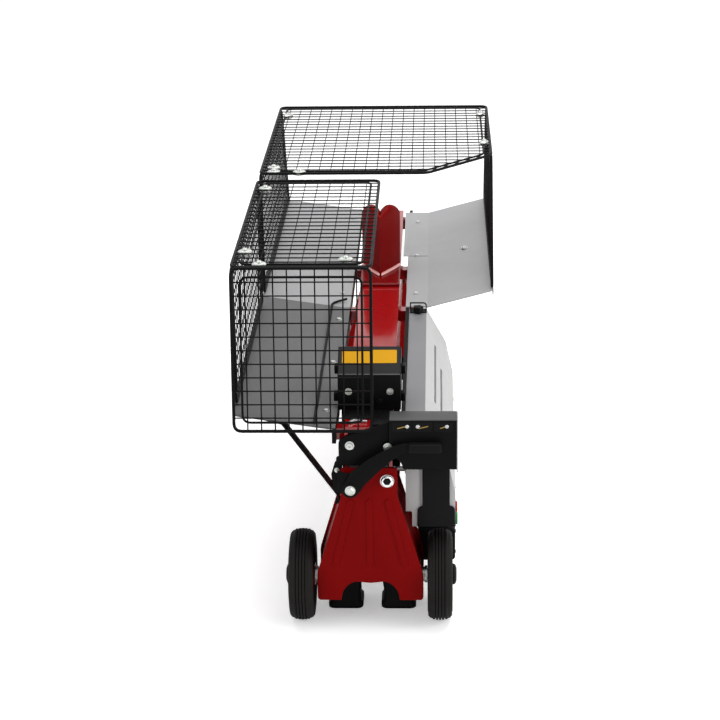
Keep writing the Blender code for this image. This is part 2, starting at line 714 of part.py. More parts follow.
def make_hydraulics():
    """Valve block in the near end of the beam, with its feed and cylinder lines."""
    inner = HALF_BEAM - BEAM_WALL - CLEARANCE
    block("valve_block", "cast_iron", (-inner, inner), (BEAM_NEAR + CLEARANCE, VALVE_FAR),
          (BEAM_BOTTOM + CLEARANCE, VALVE_TOP), bevel=0.002, segments=1)
    line = [(-LINE_OFFSET, VALVE_FAR + CLEARANCE, LINE_HEIGHT),
            (-LINE_OFFSET, CYLINDER_NEAR - CLEARANCE, LINE_HEIGHT)]
    add_object("cylinder_line", rod_mesh(line, PIPE_RADIUS), "steel")
    drop = FEED_HEIGHT - MOTOR_HEIGHT
    reach = MOTOR_X - (PUMP_RADIUS ** 2 - drop ** 2) ** 0.5 - PIPE_RADIUS
    feed = [(inner + CLEARANCE, FEED_Y, FEED_HEIGHT), (reach, FEED_Y, FEED_HEIGHT)]
    add_object("feed_line", rod_mesh(feed, PIPE_RADIUS), "steel")
    pump_far = MOTOR_NEAR - CLEARANCE
    turned("pump", "cast_iron", rod_profile(PUMP_RADIUS, PUMP_NEAR, pump_far, 0.002), "Y",
           (MOTOR_X, 0, MOTOR_HEIGHT), 28)
    motor = turned("motor", "cast_iron",
                   rod_profile(MOTOR_RADIUS, MOTOR_NEAR, MOTOR_NEAR + MOTOR_LENGTH, 0.004), "Y",
                   (MOTOR_X, 0, MOTOR_HEIGHT), 32)
    saddle = block("motor_saddle", None, (MOTOR_X - 0.012, MOTOR_X + 0.030),
                   (SWITCH_BOX_NEAR + 0.010, SWITCH_BOX_FAR - 0.010),
                   (SWITCH_BOX_TOP + CLEARANCE, MOTOR_HEIGHT - 0.020))
    join(motor, saddle)


def make_cover():
    """Bent sheet cover over the motor, with closed ends and two long louvres."""
    outline = [(COVER_INNER, COVER_TOP), (COVER_INNER + COVER_FLANGE, COVER_TOP),
               (COVER_WAIST, COVER_WAIST_HEIGHT), (COVER_SIDE, COVER_SIDE_HEIGHT),
               (COVER_SIDE, COVER_BOTTOM), (COVER_INNER, COVER_BOTTOM)]
    mesh = outline_mesh(outline, "XZ", COVER_NEAR, COVER_FAR)
    work = bmesh.new()
    work.from_mesh(mesh)
    gone = []
    for face in work.faces:
        middle = face.calc_center_median()
        if middle.z < COVER_BOTTOM + 0.001 or middle.x < COVER_INNER + 0.001:
            gone.append(face)
    bmesh.ops.delete(work, geom=gone, context="FACES")
    bmesh.ops.dissolve_limit(work, angle_limit=radians(1), verts=work.verts, edges=work.edges)
    work.to_mesh(mesh)
    work.free()
    cover = add_object("motor_cover", mesh, "cover_grey")
    thicken(cover, COVER_SHEET, -1.0)
    lean = (LEG_FOOT_WIDTH - LEG_TOP_WIDTH) / 2 / (LEG_SHOULDER - LEG_SKIRT_TOP)
    leg_reach = LEG_TOP_WIDTH / 2 + lean * (LEG_SHOULDER - COVER_BOTTOM) + LEG_SHEET
    notch_top = LEG_SHOULDER - (COVER_INNER - LEG_TOP_WIDTH / 2) / lean + LEG_SHEET
    notch = block("cover_notch", None, (COVER_INNER - 0.01, leg_reach),
                  (COVER_NEAR - 0.01, COVER_NEAR + 0.01), (COVER_BOTTOM - 0.01, notch_top))
    cut(cover, notch)
    slope_x = COVER_WAIST - COVER_INNER - COVER_FLANGE
    slope_z = COVER_WAIST_HEIGHT - COVER_TOP
    tilt = atan2(-slope_z, slope_x)
    louvres = ((0.45, 0.120, 0.375), (0.75, 0.095, 0.310))
    for number, (share, near, far) in enumerate(louvres):
        middle = Vector((COVER_INNER + COVER_FLANGE + slope_x * share, (near + far) / 2,
                         COVER_TOP + slope_z * share))
        work = bmesh.new()
        bmesh.ops.create_cube(work, size=1.0)
        bmesh.ops.scale(work, vec=(LOUVRE_WIDTH, far - near, 0.02), verts=work.verts)
        work.transform(Matrix.Translation(middle) @ Matrix.Rotation(tilt, 4, "Y"))
        mesh = bpy.data.meshes.new(f"louvre_{number}")
        work.to_mesh(mesh)
        work.free()
        cut(cover, add_object(f"louvre_{number}", mesh, None))


def make_switch_box():
    """Switch housing under the motor, with start and stop buttons and a mains inlet."""
    c = SWITCH_BOX_CHAMFER
    outline = [(SWITCH_BOX_LEFT, SWITCH_BOX_BOTTOM), (SWITCH_BOX_RIGHT, SWITCH_BOX_BOTTOM),
               (SWITCH_BOX_RIGHT, SWITCH_BOX_TOP - c), (SWITCH_BOX_RIGHT - c, SWITCH_BOX_TOP),
               (SWITCH_BOX_LEFT + c, SWITCH_BOX_TOP), (SWITCH_BOX_LEFT, SWITCH_BOX_TOP - c)]
    housing = plate("switch_box", "black_plastic", outline, "XZ", SWITCH_BOX_NEAR, SWITCH_BOX_FAR)
    well = BUTTON_TRAVEL + 0.006
    buttons = (("start_button", START_Y, "green_plastic"), ("stop_button", STOP_Y, "red_plastic"))
    for name, y, material in buttons:
        at = (SWITCH_BOX_RIGHT, y, BUTTON_HEIGHT)
        hole = rod_profile(BUTTON_RADIUS + CLEARANCE, -well, 0.01)
        cut(housing, turned(f"{name}_well", None, hole, "X", at, 24))
        depth = well - BUTTON_TRAVEL - CLEARANCE
        turned(name, material, rod_profile(BUTTON_RADIUS, -depth, BUTTON_PROUD, 0.001), "X", at, 24)
    half = INLET_SIZE / 2
    near = SWITCH_BOX_FAR + CLEARANCE
    inlet = block("power_inlet", "black_plastic", (INLET_X - half, INLET_X + half),
                  (near, near + INLET_DEPTH), (INLET_HEIGHT - half, INLET_HEIGHT + half))
    inner = half - INLET_WALL
    pocket = block("inlet_pocket", None, (INLET_X - inner, INLET_X + inner),
                   (near + INLET_WALL, near + INLET_DEPTH + 0.01),
                   (INLET_HEIGHT - inner, INLET_HEIGHT + inner))
    cut(inlet, pocket)


def make_control_end():
    """End plate, control housing, the sprung lever and the bleed screw."""
    plate_far = BEAM_NEAR - CLEARANCE
    plate_near = plate_far - END_PLATE_THICKNESS
    end_plate = block("end_plate", "black_paint", (END_PLATE_LEFT, END_PLATE_RIGHT),
                      (plate_near, plate_far), (END_PLATE_BOTTOM, END_PLATE_TOP))
    round_edges(end_plate, 0.001, 1)
    left = END_PLATE_RIGHT + CLEARANCE
    low = LEG_UPSTAND_TOP + CLEARANCE
    notch = HOUSING_NOTCH
    arc = []
    for step in range(7):
        angle = pi / 2 * step / 6
        arc.append((left + notch * sin(angle), low + notch * cos(angle)))
    outline = arc + [(HOUSING_RIGHT, low), (HOUSING_RIGHT, HOUSING_TOP), (left, HOUSING_TOP)]
    housing = plate("control_housing", "black_paint", outline, "XZ", HOUSING_NEAR,
                    COVER_NEAR - CLEARANCE)
    round_edges(housing, 0.0015, 1, radians(60))
    recess = block("housing_recess", None, (left - 0.01, COVER_INNER),
                   (plate_far, COVER_NEAR + 0.01), (low - 0.01, HOUSING_TOP + 0.01))
    cut(housing, recess)
    pivot = make_empty("lever_pivot", ROOT, (LEVER_PIVOT_X, LEVER_PLANE, LEVER_PIVOT_HEIGHT))
    half = LEVER_THICKNESS / 2
    behind = BEAM_NEAR - CLEARANCE * 2 - LEVER_PLANE
    shaft = [(0, behind), (LEVER_SHAFT_RADIUS, behind), (LEVER_SHAFT_RADIUS, half + CLEARANCE),
             (0, half + CLEARANCE)]
    turned("lever_shaft", "steel", shaft, "Y", steps=20, parent=pivot)
    reach = GRIP_LEFT - LEVER_PIVOT_X
    rise = GRIP_HEIGHT - LEVER_PIVOT_HEIGHT
    path = [Vector((0, 0)), Vector((reach * 0.44, rise * 0.64)), Vector((reach * 0.70, rise * 0.86)),
            Vector((reach * 0.88, rise)), Vector((reach, rise))]
    upper, lower = offset_path(path, LEVER_WIDTH / 2)
    eye = []
    first = atan2(path[1].y, path[1].x)
    for step in range(9):
        angle = first + pi / 2 + pi * step / 8
        eye.append((LEVER_HUB_RADIUS * cos(angle), LEVER_HUB_RADIUS * sin(angle)))
    arm_outline = list(reversed(upper)) + eye + lower
    add_object("control_lever", outline_mesh(arm_outline, "XZ", -half, half), "black_paint", pivot)
    at = (GRIP_LEFT - LEVER_PIVOT_X + CLEARANCE, 0, GRIP_HEIGHT - LEVER_PIVOT_HEIGHT)
    grip = [(0, GRIP_LENGTH), (GRIP_RADIUS * 0.6, GRIP_LENGTH), (GRIP_RADIUS, GRIP_LENGTH - 0.003),
            (GRIP_RADIUS, 0.003), (GRIP_RADIUS * 0.8, 0), (0, 0)]
    turned("lever_grip", "black_plastic", grip, "X", at, 20, parent=pivot)
    bleed = [(0, BLEED_HEAD), (BLEED_RADIUS - BLEED_EDGE, BLEED_HEAD),
             (BLEED_RADIUS, BLEED_HEAD - BLEED_EDGE), (BLEED_RADIUS, 0), (BLEED_SHANK_RADIUS, 0),
             (BLEED_SHANK_RADIUS, -BLEED_SHANK), (0, -BLEED_SHANK)]
    screw = turned("bleed_screw", "chrome", bleed, "-Y",
                   (BLEED_X, LEG_NEAR_FACE - CLEARANCE, BLEED_HEIGHT), 24)
    pocket = rod_profile(BLEED_SOCKET_RADIUS, BLEED_HEAD - BLEED_SOCKET_DEPTH,
                         BLEED_HEAD + CUT_MARGIN)
    socket = turned("bleed_socket", None, pocket, "-Y",
                    (BLEED_X, LEG_NEAR_FACE - CLEARANCE, BLEED_HEIGHT), 6)
    cut(screw, socket)


def offset_path(path, half):
    """Points on both sides of a bent centre line, square to it at its ends."""
    upper = []
    lower = []
    for number, point in enumerate(path):
        before = path[max(number - 1, 0)]
        after = path[min(number + 1, len(path) - 1)]
        along = (after - before).normalized()
        across = Vector((-along.y, along.x)) * half
        if number:
            upper.append(tuple(point + across))
            lower.append(tuple(point - across))
    return upper, lower


def make_knob():
    """Lobed hand knob on the cover's top flange."""
    outline = []
    count = KNOB_LOBES * 6
    for step in range(count):
        angle = 2 * pi * step / count
        radius = KNOB_RADIUS * (0.88 + 0.12 * cos(KNOB_LOBES * angle))
        outline.append((radius * cos(angle), radius * sin(angle)))
    axis = make_empty("knob_axis", ROOT, (KNOB_X, KNOB_Y, COVER_TOP + CLEARANCE))
    knob = add_object("cover_knob", outline_mesh(outline, "XY", 0.003, KNOB_HEIGHT),
                      "black_plastic", axis)
    neck = turned("knob_neck", None, rod_profile(KNOB_RADIUS * 0.6, 0.0, 0.005), "Z",
                  (KNOB_X, KNOB_Y, COVER_TOP + CLEARANCE), 20)
    join(knob, neck)


def tray_height(reach, flange, rise):
    """Height of a tray's underside at a distance from the beam's middle."""
    return TRAY_SEAT + max(0.0, reach - RAIL_INNER - flange) * tan(rise)


def make_tray(name, side, near, far, flange, rise):
    """Folded sheet tray: a flange on the rail, a rising pan and a turned-down outer edge."""
    lift = SHEET / 2
    inner = RAIL_INNER + CLEARANCE
    bend = RAIL_INNER + flange
    outer = TRAY_REACH - SHEET / 2
    edge = tray_height(outer, flange, rise) + lift
    points = [(inner, TRAY_SEAT + lift), (bend, TRAY_SEAT + lift), (outer, edge),
              (outer, edge - TRAY_LIP)]
    strip(name, "tray_grey", [(side * x, z) for x, z in points], near, far, SHEET)


def make_trays():
    gap = CLEARANCE
    make_tray("tray_left_near", -1, LEFT_TRAY_NEAR, TRAY_SPLIT - gap, TRAY_FLANGE, TRAY_RISE)
    make_tray("tray_left_far", -1, TRAY_SPLIT, LEFT_TRAY_FAR, TRAY_FLANGE, TRAY_RISE)
    make_tray("tray_right", 1, COVER_FAR + gap, RIGHT_TRAY_FAR, RIGHT_FLANGE, RIGHT_RISE)


def make_strut():
    """Flat bar from the beam's web up to the underside of the left tray."""
    drop = (STRUT_SHEET / 2 + CLEARANCE) / cos(TRAY_RISE)
    web = HALF_BEAM + CLEARANCE + STRUT_SHEET / 2
    seat = (STRUT_REACH - STRUT_SEAT, STRUT_REACH)
    under = [(-x, tray_height(x, TRAY_FLANGE, TRAY_RISE) - drop) for x in seat]
    foot = BEAM_BOTTOM + STRUT_FOOT_RISE
    points = [(-web, foot), (-web, foot + STRUT_FOOT)] + under
    near = BEAM_NEAR + CUT_MARGIN
    strip("tray_strut", "black_paint", points, near, near + STRUT_WIDTH, STRUT_SHEET)


def grille(name, corners, pitch=CAGE_PITCH):
    """Welded mesh panel over a flat four- or five-sided outline given by its corners."""
    origin = Vector(corners[0])
    along = (Vector(corners[1]) - origin).normalized()
    normal = along.cross(Vector(corners[-1]) - origin).normalized()
    up = normal.cross(along)
    flat = [((Vector(c) - origin).dot(along), (Vector(c) - origin).dot(up)) for c in corners]
    low_u = min(u for u, v in flat)
    width = max(u for u, v in flat) - low_u
    height = max(v for u, v in flat)
    columns = max(1, round(width / pitch))
    rows = max(1, round(height / pitch))
    work = bmesh.new()
    bmesh.ops.create_grid(work, x_segments=columns, y_segments=rows, size=0.5)
    bmesh.ops.scale(work, vec=(width, height, 1), verts=work.verts)
    bmesh.ops.translate(work, vec=(low_u + width / 2, height / 2, 0), verts=work.verts)
    for first, second in zip(flat, flat[1:] + flat[:1]):
        edge = Vector((second[0] - first[0], second[1] - first[1]))
        outward = Vector((edge.y, -edge.x, 0)).normalized()
        if abs(outward.x) < 0.999 and abs(outward.y) < 0.999:
            everything = work.verts[:] + work.edges[:] + work.faces[:]
            bmesh.ops.bisect_plane(work, geom=everything, plane_co=(*first, 0), plane_no=outward,
                                   dist=0.004, clear_outer=True)
    frame = Matrix((along, up, normal)).transposed().to_4x4()
    work.transform(Matrix.Translation(origin) @ frame)
    mesh = bpy.data.meshes.new(name)
    work.to_mesh(mesh)
    work.free()
    made = add_object(name, mesh, "black_paint")
    wires = made.modifiers.new("wires", "WIREFRAME")
    wires.thickness = CAGE_WIRE
    wires.use_boundary = True
    wires.use_even_offset = True
    wires.use_replace = True
    return made


def make_cage():
    """Mesh guard over the log space: front, left side, right side and two top panels."""
    inset = CAGE_WIRE / 2
    outer = TRAY_REACH - inset
    top = CAGE_TOP
    under = top - CAGE_WIRE - CLEARANCE
    side_low = tray_height(TRAY_REACH, TRAY_FLANGE, TRAY_RISE) + SHEET + inset + CLEARANCE
    right_low = tray_height(TRAY_REACH, RIGHT_FLANGE, RIGHT_RISE) + SHEET + inset + CLEARANCE
    near_top_y = CAGE_FRONT_TOP_Y + CAGE_WIRE + CLEARANCE
    grille("cage_front", [(-outer, CAGE_FRONT_LOW_Y, CAGE_FRONT_BOTTOM),
                          (CAGE_RIGHT, CAGE_FRONT_LOW_Y, CAGE_FRONT_BOTTOM),
                          (CAGE_RIGHT, CAGE_FRONT_TOP_Y, top),
                          (-outer, CAGE_FRONT_TOP_Y, top)])
    grille("cage_top_near", [(-outer, near_top_y, top), (CAGE_RIGHT, near_top_y, top),
                             (CAGE_RIGHT, CAGE_NEAR_FAR, top), (-outer, CAGE_NEAR_FAR, top)])
    grille("cage_side_near", [(-outer, near_top_y, side_low), (-outer, CAGE_NEAR_FAR, side_low),
                              (-outer, CAGE_NEAR_FAR, under), (-outer, near_top_y, under)])
    grille("cage_top_far", [(-outer, CAGE_FAR_NEAR, top), (CAGE_CUT_X, CAGE_FAR_NEAR, top),
                            (outer, CAGE_CUT_Y, top), (outer, CAGE_FAR_FAR, top),
                            (-outer, CAGE_FAR_FAR, top)])
    grille("cage_side_far", [(-outer, CAGE_FAR_NEAR, side_low),
                             (-outer, LEFT_TRAY_FAR - inset, side_low),
                             (-outer, CAGE_FAR_FAR, under), (-outer, CAGE_FAR_NEAR, under)])
    grille("cage_side_right", [(outer, COVER_FAR + inset + CLEARANCE, right_low),
                               (outer, RIGHT_TRAY_FAR - inset, right_low),
                               (outer, CAGE_FAR_FAR, under), (outer, CAGE_CUT_Y, under)])


make_beam()
make_rails()
make_leg("leg_near", LEG_NEAR_FACE, True)
make_leg("leg_far", FAR_LEG_SHIFT - LEG_DEPTH + LEG_SHEET / 2, False)
make_feet()
make_wheels()
make_wedge()
make_pusher()
make_cylinder()
make_hydraulics()
make_cover()
make_switch_box()
make_control_end()
make_knob()
make_trays()
make_strut()
make_cage()
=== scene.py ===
"""Looks of a horizontal log splitter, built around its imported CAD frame.

Heights are above the ground. Stations along the beam are measured from the wheel axle, away
from the operator, and station() turns them into the frame's own Y. Lengths are in metres.
"""

from math import atan2, cos, degrees, pi, radians, sin

import bmesh
import bpy
from mathutils import Matrix, Vector


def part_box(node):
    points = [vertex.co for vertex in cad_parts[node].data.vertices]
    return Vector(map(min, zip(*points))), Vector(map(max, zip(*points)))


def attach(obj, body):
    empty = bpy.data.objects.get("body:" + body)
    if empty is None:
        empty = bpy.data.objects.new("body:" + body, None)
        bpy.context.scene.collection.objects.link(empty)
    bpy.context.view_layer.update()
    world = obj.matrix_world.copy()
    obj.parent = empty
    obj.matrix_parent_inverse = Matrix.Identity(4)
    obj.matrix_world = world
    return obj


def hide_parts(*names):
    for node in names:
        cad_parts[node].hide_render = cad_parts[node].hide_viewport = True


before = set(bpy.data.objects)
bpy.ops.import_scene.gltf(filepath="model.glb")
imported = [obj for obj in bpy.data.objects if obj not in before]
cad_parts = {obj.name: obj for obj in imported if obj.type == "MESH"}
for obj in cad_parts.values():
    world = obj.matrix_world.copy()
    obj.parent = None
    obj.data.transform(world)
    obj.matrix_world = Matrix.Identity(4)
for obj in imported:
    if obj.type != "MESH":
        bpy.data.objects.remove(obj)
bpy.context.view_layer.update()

AXLE_LOW, AXLE_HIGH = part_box("axle")
AXLE_Y = (AXLE_LOW.y + AXLE_HIGH.y) / 2
BEAM_LOW, BEAM_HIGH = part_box("beam")
DECK = BEAM_HIGH.z

# Guard panels. THIN_WIRE is a share of the wire's width.
ROD = 0.0025
INNER_ROD = 0.0018
WIRE = 0.00105
THIN_WIRE = 0.7
PITCH = 0.02
FRAME_STEP = 0.013
PANEL_CORNER = 0.012
CUT_NEAR_X = 0.085
CUT_FAR_Y = 0.607
CLAMP_RADIUS = 0.0075
CLAMP_STRETCH = 1.45
CLAMP_RISE = 0.0045
CLAMP_SCREW = 0.0036

# Wheels
TREAD_RIBS = 5
TREAD_GROOVE = 0.0016
TREAD_SWELL = 0.0015
TREAD_EDGE = 0.0075
SPACER = ((0.0085, 0.0), (0.013, 0.0), (0.013, 0.004), (0.011, 0.0045), (0.011, 0.01),
          (0.0085, 0.01))

# Legs and feet
LEG_SHEET = 0.003
LEG_SETBACK = 0.004
LEG_SKIRT_TOP = 0.093
LEG_SHOULDER = 0.222
LEG_TOP_HALF = 0.042
LEG_BOLT_HEIGHTS = (0.12, 0.185)
ARCH_HALF = 0.044
ARCH_FLAT_HALF = 0.019
ARCH_TOP = 0.081
FLANK_INSET = 0.004
RIB_WIDTH = 0.01
RIB_HEIGHT = 0.0016
RIB_TOP = 0.213
RIB_BOTTOM = 0.112
RIB_TOP_REACH = 0.028
RIB_BOTTOM_REACH = 0.052
FOOT_CORNER = 0.009
FOOT_TOP_SHARE = 0.9
FOOT_LEVELS = ((0.0, 0.95), (0.0015, 1.0), (0.0075, 1.0), (0.0105, 0.93), (0.0135, 0.87),
               (0.03, 0.86), (0.044, 0.93), (0.0485, 0.93))

# Wedge
WEDGE_STEPS = 20
WEDGE_SHEET = 0.014
WEDGE_CREST = 0.036
WEDGE_CORNER = 0.034
WEDGE_DIP = 0.012
WEDGE_WIDER = 0.0022
WEDGE_TALLER = 0.008
WEDGE_DROP = 0.034
WEDGE_SHOULDER = 0.6
WEDGE_BOW = 0.12
WEDGE_END_ROUND = 0.96
# Height of the pale strips on the weld at the wedge's foot, whose pink is painted highlight
WELD_GLINT_HEIGHT = 0.004

# Pusher
FACE_TOP = 0.388
SLOPE_END = 0.062
PUSHER_BACK_DROP = 0.02
PUSHER_TEETH = 4
TOOTH_DEPTH = 0.004
PUSHER_SCREW_X = 0.031
PUSHER_SCREW_HEIGHT = 0.3625
PUSHER_BOLT_X = 0.015
PUSHER_BOLT_HEIGHT = 0.348
LUG_PLACES = ((0.006, 0.3445), (0.036, 0.3765))
LUG_LENGTH = 0.014
LUG_HEIGHT = 0.013

# Control lever: places along it as shares of its reach, each with the lever's half width there
LEVER_PATH = ((0.0, 0.0, 0.0125), (0.13, 0.28, 0.0142), (0.36, 0.56, 0.0125),
              (0.6, 0.8, 0.0098), (0.78, 0.95, 0.008), (0.89, 1.0, 0.007),
              (1.0, 1.0, 0.0066))
LEVER_RING = ((0.0068, 0.0), (0.0112, 0.0), (0.0112, 0.0012), (0.01, 0.0022),
              (0.0068, 0.0022))
LEVER_BASE = ((-0.0195, 0.03), (-0.006, 0.0255), (0.0165, 0.0255), (0.0175, 0.012),
              (0.016, -0.003), (0.007, -0.011), (-0.008, -0.011), (-0.0175, -0.003))
GRIP_DROP = 0.0065
PIVOT_HEAD = 0.0078

# Control end: LINKS has the two ends of each link and the place of the bolt beside it
BRACKET_SCREW = 0.005
BRACKET_SCREW_LEFT = -0.0275
BRACKET_SCREW_RIGHT = 0.0285
BRACKET_SCREW_HEIGHT = 0.3045
LINKS = ((-0.007, 0.0065, 0.0075), (-0.006, 0.008, -0.0072), (-0.005, 0.0045, 0.005))
PLUG_SEAT = ((0.0092, 0.0), (0.0108, 0.0), (0.0108, 0.0016), (0.0103, 0.0024),
             (0.0096, 0.0024), (0.0092, 0.0016))
# Black disc on the plug's head, a little above its middle: painted shade in its socket
PLUG_SOCKET_SHADE = ((0, -0.001), (0.0062, -0.001), (0.0062, 0.0002), (0.0056, 0.0006), (0, 0.0006))

# Hexagonal heads
HEX_TURN = 0.3

# Motor cover: stations and height of each row of screws
FLANGE_WIDTH = 0.03
CAP_STEP = 0.034
CAP_TOP = 0.108
COVER_SCREWS = (((0.06, 0.25, 0.42), 0.19), ((0.14, 0.34), 0.168))

# Switch box
SWITCH_LOWER_DROP = 0.05
SWITCH_STEP = 0.01
BEZEL = ((0.0104, 0.0), (0.0135, 0.0), (0.0135, 0.001), (0.0125, 0.0018), (0.0104, 0.0018))
INLET_PINS = ((-0.006, -0.003), (0.006, -0.003), (0.0, 0.006))

# Trays
TRAY_BOLT_X = 0.064
TRAY_BOLT_SHARES = (0.12, 0.5, 0.88)
TRAY_FOLD_X = 0.0855
STOP_SCREW_X = 0.152
STRIP_INNER = 0.0395
STRIP_NEAR = 0.77
BAR = 0.0021
BAR_X = 0.079
TRAY_BEND = 0.0585
TRAY_SLOPE = radians(8.5)
STRUT_HALF = 0.0016
STRUT_FOOT = 0.203
STRUT_KNEE = 0.222
STRUT_BOLT_HEIGHT = 0.2085

# Motor, cylinder and beam
FINS = 20
ANCHOR_BOLT_X = 0.018
ANCHOR_BOLT_HEIGHTS = (0.25, 0.305)
TAB_STATIONS = (-0.024, 0.498, 0.724, 1.04)
TAB_X = 0.0345

# Stage and lights: each light's place, the side of its square and its power
FLOOR_REACH = 14.0
FLOOR_WHITE = 0.92
FLOOR_GLOW = 0.35
WORLD_LIGHT = 0.62
LIGHT_TARGET = (0.0, 0.0, 0.25)
LIGHTS = (("overhead", (0.2, 0.5, 3.4), 3.2, 95), ("right_window", (3.0, -1.4, 1.7), 2.2, 60),
          ("left_fill", (-2.6, -2.2, 1.5), 2.0, 28))

# Camera, fitted to the photograph
CAMERA_AT = (0.1, -2.663, 1.428)
CAMERA_YAW = radians(2.411)
CAMERA_TILT = radians(69.288)
CAMERA_ROLL = radians(-0.952)
CAMERA_LENS = 97.0
CAMERA_SENSOR = 36.0
CAMERA_CLIP = 60.0


def station(distance):
    """Frame Y of a place that lies this far beyond the axle."""
    return AXLE_Y + distance


def middle(node):
    low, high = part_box(node)
    return (low + high) / 2


def fill(node, values):
    """Put constants on a node's inputs, or a link where the value is another node's output."""
    for name, value in values.items():
        if isinstance(value, bpy.types.NodeSocket):
            node.id_data.links.new(value, node.inputs[name])
        else:
            node.inputs[name].default_value = value
    return node


def add_node(tree, kind, values):
    return fill(tree.nodes.new("ShaderNode" + kind), values)


def show(obj):
    bpy.context.scene.collection.objects.link(obj)


def noise(tree, place, scale, detail, roughness=0.5):
    made = add_node(tree, "TexNoise", {
        "Vector": place, "Scale": scale, "Detail": detail, "Roughness": roughness})
    return made.outputs["Fac"]


def make_material(name, dark, light, rough, grain, depth, metallic=0.0, patch=9.0, strength=0.5,
                  coat=0.0, specular=0.22):
    """Colour drifts between two tones, roughness between two values, and a fine grain bumps it."""
    made = bpy.data.materials.new(name)
    made.use_nodes = True
    tree = made.node_tree
    place = tree.nodes.new("ShaderNodeTexCoord").outputs["Object"]
    blend = tree.nodes.new("ShaderNodeMix")
    blend.data_type = "RGBA"
    fill(blend, {"Factor": noise(tree, place, patch, 5.0, 0.6), "A": (*dark, 1.0),
                 "B": (*light, 1.0)})
    spread = add_node(tree, "MapRange", {
        "Value": noise(tree, place, patch * 4.0, 6.0, 0.65), "From Min": 0.3, "From Max": 0.7,
        "To Min": rough[0], "To Max": rough[1]})
    bump = add_node(tree, "Bump", {
        "Height": noise(tree, place, grain, 3.0), "Strength": strength, "Distance": depth})
    fill(tree.nodes["Principled BSDF"], {
        "Base Color": blend.outputs["Result"], "Roughness": spread.outputs["Result"],
        "Normal": bump.outputs["Normal"], "Metallic": metallic, "Coat Weight": coat,
        "Coat Roughness": 0.12, "Specular IOR Level": specular})
    return made


# Two tones, the range of roughness, the grain's scale and depth, and what else differs from
# make_material's own values
LOOKS = {
    "red_paint": ((0.135, 0.0015, 0.002), (0.185, 0.0025, 0.003), (0.16, 0.26), 300, 3e-5,
        dict(strength=0.25, specular=0.24)),
    "black_paint": ((0.0022, 0.0022, 0.0024), (0.0045, 0.0045, 0.0048), (0.4, 0.52), 1500, 4e-5,
        dict(specular=0.06)),
    "wire_black": ((0.0022, 0.0022, 0.0024), (0.0045, 0.0045, 0.0048), (0.36, 0.48), 1200, 3e-5,
        dict(patch=25, specular=0.07)),
    "leg_red": ((0.15, 0.001, 0.0012), (0.19, 0.0016, 0.0018), (0.28, 0.38), 300, 3e-5,
        dict(strength=0.25, specular=0.035)),
    "deck_red": ((0.26, 0.003, 0.004), (0.33, 0.0045, 0.0055), (0.07, 0.14), 90, 3e-5,
        dict(strength=0.2, coat=0.35, specular=0.5)),
    "window_black": ((0.0035, 0.0035, 0.004), (0.006, 0.006, 0.0065), (0.45, 0.6), 260, 3e-5,
        dict(strength=0.2, specular=0.08)),
    # Grey a little lighter than black_paint, laid over the pusher's slope: painted sheen, standing
    # for the light on that upward face
    "hood_grey": ((0.01, 0.01, 0.0105), (0.018, 0.018, 0.0185), (0.36, 0.46), 1300, 4e-5,
        dict(specular=0.1)),
    # Grey of the control housing's lid, and of the strip along the pusher slope's lower edge,
    # where it is a painted highlight
    "lid_grey": ((0.045, 0.045, 0.046), (0.062, 0.062, 0.063), (0.36, 0.46), 1300, 4e-5, {}),
    "brass": ((0.26, 0.17, 0.04), (0.36, 0.25, 0.08), (0.3, 0.45), 300, 3e-5,
        dict(metallic=0.9, strength=0.2)),
    # Pale pink of the strips at the wedge's foot: painted highlight, standing for glints on the
    # weld there
    "weld_glint_pink": ((0.74, 0.32, 0.3), (0.88, 0.52, 0.49), (0.18, 0.28), 500, 3e-4,
        dict(patch=80, specular=0.6)),
    "tray_grey": ((0.305, 0.305, 0.31), (0.37, 0.37, 0.375), (0.46, 0.58), 1300, 5e-5,
        dict(metallic=0.25)),
    # Darker copy of tray_grey for the left near tray: painted shade, standing for the guard's
    # shadow on it
    "tray_grey_painted_shade": ((0.095, 0.095, 0.097), (0.145, 0.145, 0.147), (0.46, 0.58), 1300, 5e-5,
        dict(metallic=0.25, patch=4)),
    "cover_grey": ((0.36, 0.36, 0.36), (0.41, 0.41, 0.405), (0.38, 0.48), 1300, 4e-5, {}),
    "flange_grey": ((0.15, 0.15, 0.155), (0.22, 0.215, 0.225), (0.36, 0.46), 1300, 4e-5,
        dict(patch=6)),
    "black_plastic": ((0.003, 0.003, 0.003), (0.006, 0.006, 0.0065), (0.45, 0.58), 1800, 8e-5,
        dict(specular=0.08)),
    "foot_rubber": ((0.003, 0.003, 0.003), (0.006, 0.006, 0.006), (0.55, 0.7), 800, 1e-4,
        dict(specular=0.1)),
    "tyre_rubber": ((0.006, 0.006, 0.0055), (0.013, 0.012, 0.011), (0.6, 0.78), 700, 1.2e-4,
        dict(patch=22, specular=0.12)),
    "steel": ((0.42, 0.42, 0.43), (0.56, 0.56, 0.57), (0.26, 0.4), 1600, 3e-5,
        dict(metallic=1.0, patch=60)),
    "zinc": ((0.48, 0.5, 0.47), (0.66, 0.68, 0.65), (0.24, 0.38), 2200, 3e-5,
        dict(metallic=0.9, patch=120)),
    "chrome": ((0.74, 0.74, 0.75), (0.84, 0.84, 0.85), (0.07, 0.14), 900, 1e-5,
        dict(metallic=1.0, patch=40)),
    "cast_iron": ((0.05, 0.05, 0.052), (0.085, 0.085, 0.088), (0.5, 0.66), 550, 3e-4,
        dict(metallic=0.5)),
    "red_plastic": ((0.42, 0.012, 0.01), (0.5, 0.018, 0.014), (0.32, 0.42), 1500, 4e-5, {}),
    "green_plastic": ((0.015, 0.2, 0.04), (0.02, 0.26, 0.06), (0.32, 0.42), 1500, 4e-5, {}),
    "yellow_plate": ((0.54, 0.26, 0.001), (0.61, 0.31, 0.002), (0.34, 0.42), 1200, 3e-5,
        dict(patch=30, specular=0.1)),
}
MATERIALS = {name: make_material(name, *look, **other)
             for name, (*look, other) in LOOKS.items()}

